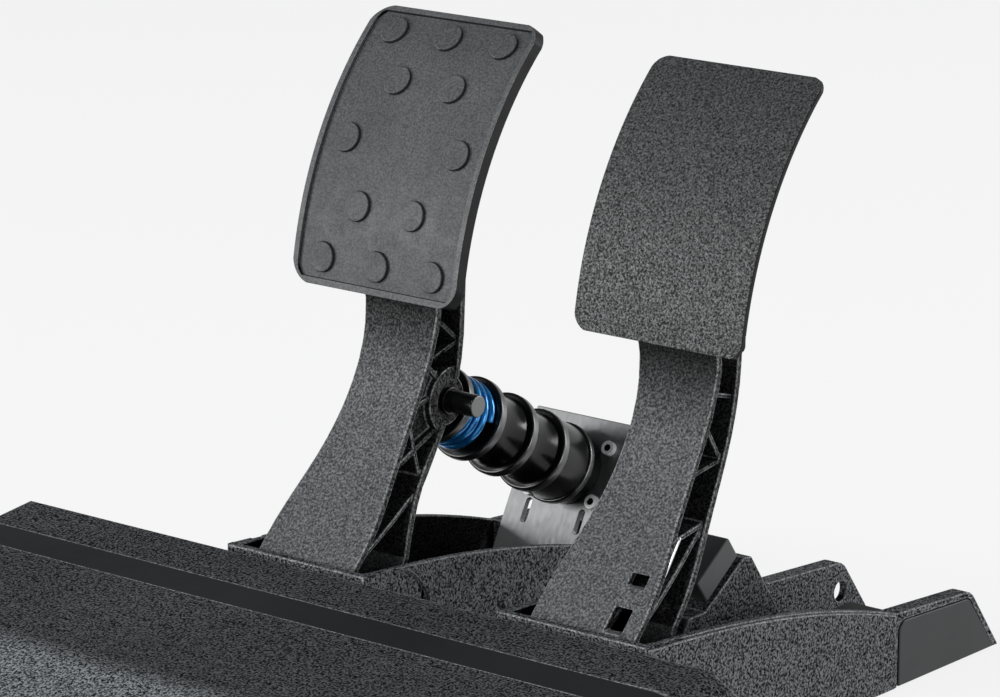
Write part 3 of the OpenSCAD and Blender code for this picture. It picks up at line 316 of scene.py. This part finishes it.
M = {
    "coarse": grained("plastic_coarse", *COARSE),
    # Coarse plastic darkened as painted shade, for the throttle stop bracket.
    "stop_painted_shade": grained("plastic_stop_painted_shade", *STOP_PAINTED_SHADE),
    # Coarse plastic darkened as painted shade, for the heel rest.
    "heel": grained("plastic_heel_painted_shade", *HEEL_PAINTED_SHADE),
    # Heel plastic with painted light on the ramp past the fold.
    "heel_top_painted_light": grained("plastic_heel_top_painted_light", *HEEL_PAINTED_SHADE, PAINTED_LIGHT_PAST_FOLD),
    "arm": grained("plastic_arm", *ARM),
    # Arm plastic with a painted shadow under the plates, for the arms' forward faces.
    "arm_front": grained("plastic_arm_front", *ARM, PAINTED_SHADOW_UNDER_PLATE),
    "coat": grained("coat_plate", grey(0.02), grey(0.075), 1350.0, 0.6, (0.58, 0.45), 0.36, 0.15),
    # Lighter plastic for the rounds: painted highlights where edges catch light.
    "edge": grained("plastic_painted_edge_highlight", grey(0.09), grey(0.3), 1250.0, 0.4, (0.55, 0.42), 0.4),
    # Darker plastic for the arms' flat sides: painted shade.
    "side": grained("plastic_arm_side_painted_shade", grey(0.008), grey(0.06), 1150.0, 0.7, (0.7, 0.5), 0.25, 0.13),
    # Darker plastic for the arms' hollows: painted shade.
    "pocket_painted_shade": grained("plastic_pocket_painted_shade", grey(0.003), grey(0.03), 1150.0, 0.7, (0.75, 0.6), 0.2, 0.13),
    # Nearly black plastic for the insides of housings and screw sockets: painted shade.
    "inner": grained("plastic_inner_painted_shade", grey(0.002), grey(0.008), 1250.0, 0.4, (0.75, 0.65), 0.12),
    "smooth": satin("plastic_smooth", grey(0.02, 0.07), 0.42),
    "inlay": satin("plastic_inlay", grey(0.016, 0.06), 0.5, 0.3),
    "cover": satin("plastic_cover", grey(0.014), 0.55),
    "bumper": satin("plastic_bumper", grey(0.062), 0.42, 0.4),
    "pad": rubbery("rubber_pad", grey(0.048), grey(0.112), 1350.0, 0.5, 0.54),
    # Dark rubber of the feet, also put on the pad's stud walls as painted shade.
    "foot": rubbery("rubber_foot", grey(0.01), grey(0.02), 1200.0, 0.3, 0.7),
    # Lighter rubber for the pad's rim crest and left stud edges: painted highlight.
    "pad_painted_highlight": rubbery("rubber_pad_painted_highlight", grey(0.07), grey(0.14), 1350.0, 0.3, 0.5),
    # Nearly black rubber for the pad's outer sides and the throttle plate's sides and back: a dark sidewall,
    # and on the pad painted shade reaching further round the right side than the left.
    "dark_side_and_painted_shade": rubbery("rubber_dark_side_and_painted_shade", grey(0.003), grey(0.006), 1300.0, 0.2, 0.5, 0.2),
    "elastomer": rubbery("rubber_elastomer", grey(0.0015), grey(0.003), 900.0, 0.05, 0.2, 0.22),
    "gloss": satin("black_gloss", grey(0.004), 0.22, 0.4, 0.02),
    "turned": metal("black_turned", grey(0.17, 0.01), 0.34, (0.05, 1.0, 1.0)),
    "cell": satin("black_cell", grey(0.01), 0.4, 0.4, 0.05),
    "bracket": metal("steel_bracket", grey(0.27, 0.01), 0.5, (1.0, 0.3, 0.3), 700.0, 0.02),
    "bright": metal("steel_bright", grey(0.6, 0.01), 0.26, (0.05, 1.0, 1.0)),
    "fastener": metal("steel_fastener", grey(0.3, 0.01), 0.34),
    "pin": metal("steel_pin", grey(0.2, 0.01), 0.4, (0.05, 1.0, 1.0)),
    "wire": metal("steel_wire", grey(0.75, 0.01), 0.2),
    # Pale zinc of the load cell's screws, made a very pale non-metal partly as painted highlight so that the
    # heads show bright in the arm's shade.
    "screw": satin("zinc_screw_and_painted_highlight", grey(0.8, 0.01), 0.3, 0.6, 0.02),
    "bronze": metal("bronze_bush", (0.42, 0.27, 0.11), 0.38),
    "board": board_material(),
    "socket": satin("plastic_socket", grey(0.014), 0.5),
    "blue": blue_coat(),
}


# Meshes
def finish(mesh, *materials):
    """Gives a mesh its materials; its faces go back to the first one."""
    mesh.materials.clear()
    for m in materials:
        mesh.materials.append(M[m])


def new_object(name, mesh, materials, body, replaced=()):
    obj = bpy.data.objects.new(name, mesh)
    scene.collection.objects.link(obj)
    if materials:
        finish(mesh, *materials)
    if body:
        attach(obj, body)
    if replaced:
        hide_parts(*replaced)
    return obj


NODE_BODY = {n: b for b, ns in frame["record"]["behaviour"]["bodies"].items() for n in ns}


def clean_copy(node, flat_deg=0.25):
    """A node's mesh with its seams joined and its flat faces whole."""
    bm = bmesh.new()
    bm.from_mesh(frame["nodes"][node].data)
    bmesh.ops.remove_doubles(bm, verts=bm.verts, dist=3e-6)
    bmesh.ops.dissolve_degenerate(bm, edges=bm.edges, dist=2e-6)
    bmesh.ops.dissolve_limit(bm, angle_limit=math.radians(flat_deg), verts=bm.verts, edges=bm.edges)
    mesh = bpy.data.meshes.new(node + "_mesh")
    bm.to_mesh(mesh)
    bm.free()
    for name in ("custom_normal", "sharp_edge", "sharp_face"):
        found = mesh.attributes.get(name)
        if found:
            mesh.attributes.remove(found)
    return mesh


def baked(obj):
    """A new mesh with an object's modifiers in it."""
    bpy.context.view_layer.update()
    dg = bpy.context.evaluated_depsgraph_get()
    return bpy.data.meshes.new_from_object(obj.evaluated_get(dg), depsgraph=dg)


def applied(obj):
    """Bakes an object's modifiers into its mesh."""
    mesh = baked(obj)
    obj.modifiers.clear()
    obj.data = mesh


def flaws(mesh, tree, width):
    """Places where a round went wrong: points far from the old surface, and faces turned over."""
    places = [v.co.copy() for v in mesh.vertices if tree.find_nearest(v.co)[3] > MOST_DEPARTURE * width]
    for p in mesh.polygons:
        least = 0.2 if p.material_index == 0 else -0.05
        if p.area > 1e-12 and tree.find_nearest(p.center)[1].dot(p.normal) < least:
            places.append(p.center.copy())
    return places


def near_edge(e, places, reach):
    """Whether an edge passes any of the places within a distance."""
    start = e.verts[0].co
    run = e.verts[1].co - start
    square = max(run.length_squared, 1e-14)
    return any(
        (start + run * min(1.0, max(0.0, (q - start).dot(run) / square)) - q).length < reach for q in places
    )


def rounded(mesh, width, segments):
    """A copy of a mesh with its sharp edges rounded, the rounds with material index 1.

    A round is narrower, or left out, where small faces leave no room for it.
    """
    bm = bmesh.new()
    bm.from_mesh(mesh)
    tree = BVHTree.FromBMesh(bm)
    weight = bm.edges.layers.float.new("bevel_weight_edge")
    sharp = [e for e in bm.edges if len(e.link_faces) == 2 and e.calc_face_angle(0.0) > ROUND_FROM]
    for e in sharp:
        tight = any(o.calc_length() < LEAST_ROOM * width for v in e.verts for o in v.link_edges)
        e[weight] = 0.0 if tight else 1.0
    obj = bpy.data.objects.new("rounding", mesh)
    scene.collection.objects.link(obj)
    bevel = obj.modifiers.new("bevel", "BEVEL")
    bevel.width = width
    bevel.segments = segments
    bevel.limit_method = "WEIGHT"
    bevel.use_clamp_overlap = False
    bevel.miter_outer = "MITER_ARC"
    bevel.material = 1
    for _ in range(ROUND_TRIES):
        bm.to_mesh(mesh)
        result = baked(obj)
        places = flaws(result, tree, width)
        poor = [e for e in sharp if e[weight] > 0 and near_edge(e, places, FLAW_REACH * width)]
        if not poor:
            break
        for e in poor:
            e[weight] = 0.5 * e[weight] if e[weight] > 0.3 else 0.0
    bm.free()
    bpy.data.objects.remove(obj)
    return result


def soften(node, material, width, segments, edge=None, zones=(), mesh=None):
    """Replaces a node by a copy whose edges are rounded, with the edge material, here always the painted edge
    highlight, on the rounds.

    Each zone is a material and a test of a face's middle, in millimetres, and its normal.
    """
    mesh = mesh or clean_copy(node)
    finish(mesh, material, edge or material)
    for p in mesh.polygons:
        p.use_smooth = True
        p.material_index = 0
    mesh = rounded(mesh, width * MM, segments)
    if not edge:
        finish(mesh, material)
    obj = new_object(node + "_finished", mesh, None, None)
    mesh.set_sharp_from_angle(angle=SMOOTH_TO)
    weights = obj.modifiers.new("normals", "WEIGHTED_NORMAL")
    weights.keep_sharp = True
    weights.weight = 60
    applied(obj)
    for other, test in zones:
        obj.data.materials.append(M[other])
        for p in obj.data.polygons:
            if p.material_index == 0 and test(np.array(p.center) / MM, np.array(p.normal)):
                p.material_index = len(obj.data.materials) - 1
    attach(obj, NODE_BODY[node])
    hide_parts(node)


def grid_mesh(name, rings, caps=True):
    """Mesh from rings of points, each joined to the next."""
    count, sides = len(rings), len(rings[0])
    verts = [tuple(np.asarray(p) * MM) for ring in rings for p in ring]
    faces = [
        (i * sides + k, i * sides + (k + 1) % sides, (i + 1) * sides + (k + 1) % sides, (i + 1) * sides + k)
        for i in range(count - 1)
        for k in range(sides)
    ]
    if caps:
        faces.append(tuple(reversed(range(sides))))
        faces.append(tuple((count - 1) * sides + k for k in range(sides)))
    mesh = bpy.data.meshes.new(name)
    mesh.from_pydata(verts, [], faces)
    bm = bmesh.new()
    bm.from_mesh(mesh)
    bmesh.ops.recalc_face_normals(bm, faces=bm.faces)
    bm.to_mesh(mesh)
    bm.free()
    for p in mesh.polygons:
        p.use_smooth = True
    return mesh


def unit(v):
    return v / np.linalg.norm(v)


def tube_rings(path, across, radius, sides=14, round_ends=4):
    """Rings of a wire along a path whose runs lie square to one direction, with rounded ends."""
    path = [np.asarray(p, float) for p in path]
    across = np.asarray(across, float)
    stations = []
    for i in range(len(path)):
        t = unit(path[min(i + 1, len(path) - 1)] - path[max(i - 1, 0)])
        stations.append((path[i], t, radius))
    for end, sign in ((0, -1), (-1, 1)):
        p, t, _ = stations[end]
        extra = []
        for k in range(1, round_ends + 1):
            a = math.pi / 2 * k / (round_ends + 0.35)
            extra.append((p + sign * t * radius * 0.55 * math.sin(a), t, radius * math.cos(a)))
        stations = list(reversed(extra)) + stations if end == 0 else stations + extra
    rings = []
    angles = np.linspace(0, 2 * math.pi, sides, False)
    for p, t, r in stations:
        n = unit(np.cross(t, across))
        b = np.cross(n, t)
        rings.append([p + r * (math.cos(a) * n + math.sin(a) * b) for a in angles])
    return rings


def on_stack(p, u=0.0):
    """A point of the stack, with Z along it from the clevis pin, in the set's frame."""
    origin = BRAKE + np.array((0.0, PIN[0], PIN[1]))
    return origin + np.array((p[0], 0.0, 0.0)) + p[1] * STACK_DOWN + (p[2] + u) * STACK_DIR


def lathe_on_stack(profile, u, sides=72):
    """Rings of a turned piece on the stack from (radius, height) points."""
    angles = np.linspace(0, 2 * math.pi, sides, False)
    return [[on_stack((r * math.cos(a), r * math.sin(a), z), u) for a in angles] for r, z in profile]


# Springs and elastomers
def brake_spring():
    wire, mean, turns, per_turn = 1.3, 12.0, 3.0, 44
    rise = SPRING_LENGTH - 2 * wire - 0.4
    steps = int(turns * per_turn)
    path = [
        on_stack(
            (
                mean * math.cos(2 * math.pi * i / per_turn),
                mean * math.sin(2 * math.pi * i / per_turn),
                wire + 0.2 + rise * i / steps,
            ),
            SPRING_AT,
        )
        for i in range(steps + 1)
    ]
    mesh = grid_mesh("brake_spring_wound", tube_rings(path, STACK_DIR, wire, 16))
    obj = new_object("brake_spring_wound", mesh, ["blue"], "front_spacer", ["brake_spring"])
    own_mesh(obj)


def elastomer(name, node, u, body):
    """Elastomer with a drawn-in waist and rounded rims."""
    outer, inner, length, waist, rim = 13.2, 4.5, ELASTOMER_LENGTH, 0.7, 0.7
    side = [
        (outer - waist * math.sin(math.pi * t) ** 0.8, rim + (length - 2 * rim) * t)
        for t in np.linspace(0, 1, 22)
    ]
    quarter = np.linspace(0, math.pi / 2, 6)[:-1]
    low = [(outer - rim + rim * math.sin(a), rim - rim * math.cos(a)) for a in quarter]
    high = [(r, length - z) for r, z in reversed(low)]
    profile = [(inner, length / 2), (inner, 0.0), *low, *side, *high, (inner, length), (inner, length / 2)]
    mesh = grid_mesh(name, lathe_on_stack(profile, u), caps=False)
    bm = bmesh.new()
    bm.from_mesh(mesh)
    bmesh.ops.remove_doubles(bm, verts=bm.verts, dist=1e-7)
    bmesh.ops.recalc_face_normals(bm, faces=bm.faces)
    bm.to_mesh(mesh)
    bm.free()
    mesh.set_sharp_from_angle(angle=math.radians(50))
    obj = new_object(name, mesh, ["elastomer"], body, [node])
    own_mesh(obj)


def bezier(p, t):
    return (1 - t) ** 3 * p[0] + 3 * (1 - t) ** 2 * t * p[1] + 3 * (1 - t) * t * t * p[2] + t**3 * p[3]


def bezier_dir(p, t):
    return unit((1 - t) ** 2 * (p[1] - p[0]) + 2 * (1 - t) * t * (p[2] - p[1]) + t * t * (p[3] - p[2]))


def return_spring():
    """Torsion spring round the throttle's axle, one leg on the floor and one behind the arm's front."""
    wire, coil, xs, curls, aside = 0.9, 6.6, (4.0, 14.0), 3, 3.2
    d = bezier_dir(ARM_FRONT, 0.44)
    tip = bezier(ARM_FRONT, 0.44) + (2.4 + wire + 0.3) * np.array((d[1], -d[0]))
    reach = tip - PIVOT
    leg_angle = math.atan2(reach[1], reach[0]) + math.acos(coil / np.linalg.norm(reach))
    root = PIVOT + coil * np.array((math.cos(leg_angle), math.sin(leg_angle)))
    sweep = math.radians(270) - leg_angle + 2 * math.pi * curls
    steps = int(sweep / (2 * math.pi) * 40)
    path = [(xs[0], PIVOT[0] + 29.0 * (1 - k / 12), PIVOT[1] - coil) for k in range(12)]
    for i in range(steps + 1):
        a = math.radians(270) - sweep * i / steps
        x = xs[0] + (xs[1] - xs[0]) * i / steps
        path.append((x, PIVOT[0] + coil * math.cos(a), PIVOT[1] + coil * math.sin(a)))
    for k in range(1, 13):
        p = root + (tip - root) * k / 12
        path.append((xs[1] + aside * k / 12, p[0], p[1]))
    path = [THROTTLE + np.array(p) for p in path]
    mesh = grid_mesh("return_spring_wound", tube_rings(path, (1, 0, 0), wire, 12))
    replaced = ["throttle_return_spring"]
    obj = new_object("return_spring_wound", mesh, ["wire"], None, replaced)
    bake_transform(obj)


# Faces that take another material: painted shade in hollows, sockets and on dark sides, painted highlights on
# edges, painted light and shadow on the heel rest and arm fronts, and the pin's own grey end and the rings'
# turned faces
def painted_shade_inside_housing(home):
    """Inner faces of a housing's walls and floor, ahead of its tails, darkened almost to black as painted
    shade.
    """

    def test(c, n):
        x, y, z = c - home
        wall = abs(x) > 20 and x * n[0] < -0.5 and y < 141
        floor = n[2] > 0.5 and z < 12 and y < 168
        return wall or floor or (n[1] > 0.5 and y < 4) or (abs(x) < 27.5 and z < 11)

    return test


def gap_to(curve):
    """Distance of a point from a curve of an arm's outline."""
    track = np.array([bezier(curve, t) for t in np.linspace(0, 1, 90)])
    return lambda y, z: np.hypot(track[:, 0] - y, track[:, 1] - z).min()


def painted_shade_inside_arm(home, rear):
    """Web, ribs and inner flange faces of an arm's hollow sides, darkened as painted shade."""
    front_gap, rear_gap = gap_to(ARM_FRONT), gap_to(rear)

    def test(c, n):
        x, y, z = c - home
        if abs(n[0]) > 0.8:
            return abs(x) < 13
        if z < 47:
            return n[1] > -0.4
        return z < 126 and min(front_gap(y, z), rear_gap(y, z)) > 2.0

    return test


def on_pad(c):
    """A point's distance from the pad's axis, its depth inside the outline, and the way out."""
    x, y, z = np.asarray(c) - BRAKE
    away = np.array((y, z)) - PLATE_AXIS
    r = np.linalg.norm(away)
    turn = math.atan2(away[1], -away[0]) - PLATE_MID
    past = np.maximum(np.abs((x, r * math.sin(turn))) - (PAD_HALF - PAD_CORNER), 0)
    return r, PAD_CORNER - np.linalg.norm(past), np.array((0.0, *away / r))


def painted_shade_pad_wall(c, n):
    """Walls of the pad's studs and of its rim's inside, darkened with the feet's rubber as painted shade."""
    r, depth, out = on_pad(c)
    return depth > 1.6 and r > PAD_FLOOR - 0.5 and float(out @ n) < 0.8


# Outer sides of the pad: a dark sidewall, with painted shade reaching further round the right side than the
# left.
def dark_side_and_painted_shade(c, n):
    r, depth, out = on_pad(c)
    return depth < 1.6 and float(out @ n) < (0.93 if n[0] > 0.1 else 0.6)


def pad_mesh():
    """The pad with a rolled outer edge and fillets round the studs."""
    mesh = clean_copy("brake_pad")
    bm = bmesh.new()
    bm.from_mesh(mesh)
    rolled, fillets = [], []
    for e in bm.edges:
        ends = [on_pad(np.array(v.co) / MM) for v in e.verts]
        if all(r > PAD_TOP - 0.05 and depth < 0.8 for r, depth, _ in ends):
            rolled.append(e)
        elif all(abs(r - PAD_FLOOR) < 0.08 and depth > 3.2 for r, depth, _ in ends):
            fillets.append(e)
    for edges, size in ((rolled, 1.5), (fillets, 0.7)):
        edges = [e for e in edges if e.is_valid]
        bmesh.ops.bevel(
            bm, geom=edges, offset=size * MM, segments=4, profile=0.5, affect="EDGES", clamp_overlap=True
        )
    bm.to_mesh(mesh)
    bm.free()
    return mesh


def strip_mesh():
    """The strip with a narrow lip along each edge of its face, with index 1 for the painted edge highlight."""
    mesh = clean_copy("heel_strip")
    finish(mesh, "inlay", "edge")
    bm = bmesh.new()
    bm.from_mesh(mesh)
    for f in bm.faces:
        f.smooth = True
        f.material_index = 0
    face = [f for f in bm.faces if f.normal.z > 0.3]
    lips = bmesh.ops.inset_region(bm, faces=face, thickness=0.55 * MM, use_even_offset=True)["faces"]
    for f in lips:
        f.material_index = 1
    bm.to_mesh(mesh)
    bm.free()
    return mesh


def strip():
    """The strip across the heel rest."""
    node = "heel_strip"
    obj = new_object(node + "_finished", strip_mesh(), None, NODE_BODY[node], [node])
    obj.data.set_sharp_from_angle(angle=SMOOTH_TO)


# Upward faces of the heel rest, which take the heel plastic with painted light past the fold.
def heel_top_painted_light(c, n):
    return n[2] > 0.3 and abs(n[0]) < 0.3


def painted_highlight_rear_round(c, n):
    """The round along the heel rest's rear edge, which takes the painted edge highlight."""
    return c[1] > -22.4 and n[2] > 0.3


# Sides and back of the throttle plate, which take the same dark side rubber.
def plate_side(c, n):
    return abs(n[0]) > 0.6 or n[1] > 0.3


# Flat sides of the arms, darkened as painted shade.
def arm_side_painted_shade(c, n):
    return abs(n[0]) > 0.8


# Forward faces of the arms, which take the arm plastic with a painted shadow under the plates.
def arm_front(c, n):
    return n[1] < -0.2


def painted_highlight_stud_edge(c, n):
    """The rim's crest, and the edges of the studs that turn to the left, lightened as painted highlights."""
    r, depth, out = on_pad(c)
    crest = depth < 2.25 and r > PAD_TOP - 0.2 and float(out @ n) > 0.9
    return crest or (depth > 3 and r > PAD_FLOOR + 0.6 and n[0] < -0.12 and float(out @ n) < 0.97)


def pin_face(c, n):
    return n[0] > 0.8


def painted_shade_screw_hole(c, n):
    """Sockets in the heads of the load cell's screws, darkened as painted shade."""
    off = c - on_stack((0, 0, 0))
    r = math.hypot(abs(off[0]) - CELL_SCREW_X, abs(float(off @ STACK_DOWN)) - CELL_SCREW_Y)
    return r < 1.7 and CELL_SCREW_HEAD[0] < float(off @ STACK_DIR) < CELL_SCREW_HEAD[1]


def round_face(least):
    """Outer faces of a turned piece of the stack, from one radius up."""

    def test(c, n):
        off = c - on_stack((0, 0, 0))
        away = off - STACK_DIR * float(off @ STACK_DIR)
        return np.linalg.norm(away) > least and float(unit(away) @ n) > 0.75

    return test


# Light and surroundings
def bowl():
    """Pale floor that turns up far away all round."""
    flat = [(0.02, 0.0), (2.0, 0.0), (5.0, 0.0), (8.0, 0.0)]
    profile = flat + [(8.6, 0.05), (9.2, 0.25), (9.6, 0.6), (9.8, 1.1), (9.9, 2.2)]
    angles = np.linspace(0, 2 * math.pi, 96, False)
    rings = [
        [(1000 * r * math.cos(a), 1000 * r * math.sin(a), 1000 * z - 0.05) for a in angles] for r, z in profile
    ]
    mesh = grid_mesh("floor", rings, caps=False)
    bm = bmesh.new()
    bm.from_mesh(mesh)
    middle = [e for e in bm.edges if e.is_boundary and e.verts[0].co.length < 0.1]
    bmesh.ops.contextual_create(bm, geom=middle)
    bm.to_mesh(mesh)
    bm.free()
    n = Nodes("floor_pale")
    tree = n.tree
    for node in list(tree.nodes):
        tree.nodes.remove(node)
    out = n.add("ShaderNodeOutputMaterial")
    path = n.add("ShaderNodeLightPath")
    seen = n.math(
        "MAXIMUM",
        n.math("MAXIMUM", path.outputs["Is Camera Ray"], path.outputs["Is Glossy Ray"]),
        path.outputs["Is Transmission Ray"],
    )
    plain = n.add("ShaderNodeBsdfDiffuse")
    plain.inputs["Color"].default_value = (0.7, 0.7, 0.7, 1)
    faint = n.add("ShaderNodeBsdfDiffuse")
    faint.inputs["Color"].default_value = (0.12, 0.12, 0.12, 1)
    glow = n.add("ShaderNodeEmission")
    glow.inputs["Color"].default_value = (0.84, 0.84, 0.84, 1)
    both = n.add("ShaderNodeAddShader")
    n.join(faint.outputs[0], both.inputs[0])
    n.join(glow.outputs[0], both.inputs[1])
    mix = n.add("ShaderNodeMixShader")
    n.join(seen, mix.inputs[0])
    n.join(plain.outputs[0], mix.inputs[1])
    n.join(both.outputs[0], mix.inputs[2])
    n.join(mix.outputs[0], out.inputs[0])
    obj = bpy.data.objects.new("floor", mesh)
    scene.collection.objects.link(obj)
    mesh.materials.append(n.material)


def lamp(name, place, at, size, power):
    data = bpy.data.lights.new(name, "AREA")
    data.shape = "RECTANGLE"
    data.size, data.size_y = size
    data.energy = power
    obj = bpy.data.objects.new(name, data)
    scene.collection.objects.link(obj)
    obj.location = place
    obj.rotation_mode = "QUATERNION"
    obj.rotation_quaternion = (Vector(at) - Vector(place)).to_track_quat("-Z", "Y")


def light():
    world = bpy.data.worlds.new("studio")
    scene.world = world
    world.use_nodes = True
    back = world.node_tree.nodes["Background"]
    back.inputs["Color"].default_value = (0.93, 0.97, 1.0, 1)
    back.inputs["Strength"].default_value = 0.13
    lamp("key", (-1.6, -1.9, 0.6), (0, 0.02, 0.12), (1.2, 0.9), 41)
    lamp("front", (-0.2, -1.2, 1.9), (0, 0.02, 0.1), (0.7, 0.7), 16)
    lamp("fill", (2.1, -0.5, 0.5), (0, 0.02, 0.08), (1.0, 0.9), 13)
    lamp("rim", (1.3, 1.7, 0.9), (0.02, 0.05, 0.12), (0.5, 1.3), 22)


make_camera()
bowl()
light()

brake_spring()
elastomer("front_elastomer_moulded", "front_elastomer", FRONT_ELASTOMER_AT, "rear_spacer")
elastomer("rear_elastomer_moulded", "rear_elastomer", REAR_ELASTOMER_AT, "base")
return_spring()

ZONES = {
    "heel_rest": [("edge", painted_highlight_rear_round), ("heel_top_painted_light", heel_top_painted_light)],
    "brake_housing": [("inner", painted_shade_inside_housing(BRAKE))],
    "throttle_housing": [("inner", painted_shade_inside_housing(THROTTLE))],
    "brake_arm": [("pocket_painted_shade", painted_shade_inside_arm(BRAKE, BRAKE_REAR)), ("side", arm_side_painted_shade), ("arm_front", arm_front)],
    "throttle_arm": [
        ("pocket_painted_shade", painted_shade_inside_arm(THROTTLE, THROTTLE_REAR)),
        ("side", arm_side_painted_shade),
        ("arm_front", arm_front),
    ],
    "brake_pad": [("pad_painted_highlight", painted_highlight_stud_edge), ("foot", painted_shade_pad_wall), ("dark_side_and_painted_shade", dark_side_and_painted_shade)],
    "throttle_plate": [("dark_side_and_painted_shade", plate_side)],
    "brake_clevis_pin": [("pin", pin_face)],
    "load_cell_screws": [("inner", painted_shade_screw_hole)],
    "spring_seat": [("turned", round_face(13.6))],
    "spacer_ring_1": [("turned", round_face(14.9))],
    "spacer_ring_2": [("turned", round_face(14.9))],
    "elastomer_cup": [("turned", round_face(14.9))],
}
# Columns: node, material, round width in millimetres, segments, and the material on the rounds: the painted
# edge highlight, or none.
for node, material, width, segments, edge in (
    ("heel_rest", "heel", 0.75, 3, "edge"),
    ("heel_cover", "cover", 0.3, 2, None),
    ("side_fairing", "coarse", 0.5, 2, "edge"),
    ("rubber_feet", "foot", 0.4, 3, None),
    ("housing_screws", "fastener", 0.3, 2, None),
    ("brake_housing", "coarse", 0.5, 2, "edge"),
    ("throttle_housing", "coarse", 0.5, 2, "edge"),
    ("brake_end_cap", "smooth", 1.1, 4, None),
    ("throttle_end_cap", "smooth", 1.1, 4, None),
    ("brake_axle", "bright", 0.4, 2, None),
    ("throttle_axle", "bright", 0.4, 2, None),
    ("brake_axle_clips", "fastener", 0.12, 1, None),
    ("throttle_axle_clips", "fastener", 0.12, 1, None),
    ("brake_bushes", "bronze", 0.2, 2, None),
    ("throttle_bushes", "bronze", 0.2, 2, None),
    ("brake_arm", "arm", 0.45, 2, "edge"),
    ("throttle_arm", "arm", 0.45, 2, "edge"),
    ("brake_plate", "coat", 0.5, 2, None),
    ("throttle_plate", "coat", 0.5, 3, None),
    ("brake_plate_nuts", "fastener", 0.25, 2, None),
    ("throttle_plate_nuts", "fastener", 0.25, 2, None),
    ("brake_clevis_pin", "gloss", 0.6, 3, None),
    ("clevis_collar", "gloss", 0.3, 2, None),
    ("push_rod", "gloss", 0.4, 2, None),
    ("spring_seat", "gloss", 0.2, 2, None),
    ("spacer_ring_1", "gloss", 0.2, 2, None),
    ("spacer_ring_2", "gloss", 0.2, 2, None),
    ("elastomer_cup", "gloss", 0.35, 2, None),
    ("load_cell", "cell", 0.6, 3, None),
    ("load_cell_screws", "screw", 0.3, 2, None),
    ("load_cell_bracket", "bracket", 0.35, 2, None),
    ("bracket_bolts", "fastener", 0.35, 2, None),
    ("brake_amplifier_board", "board", 0.1, 1, None),
    ("throttle_sensor_board", "board", 0.1, 1, None),
    ("brake_socket", "socket", 0.3, 2, None),
    ("throttle_socket", "socket", 0.3, 2, None),
    ("throttle_stop_bracket", "stop_painted_shade", 0.5, 2, "edge"),
    ("stop_bracket_screws", "fastener", 0.35, 2, None),
    ("throttle_bumper", "bumper", 0.7, 3, None),
    ("throttle_magnet", "bright", 0.2, 2, None),
):
    soften(node, material, width, segments, edge=edge, zones=ZONES.get(node, ()))
strip()
soften("brake_pad", "pad", 0.25, 2, zones=ZONES["brake_pad"], mesh=pad_mesh())

scene.view_settings.view_transform = "Standard"
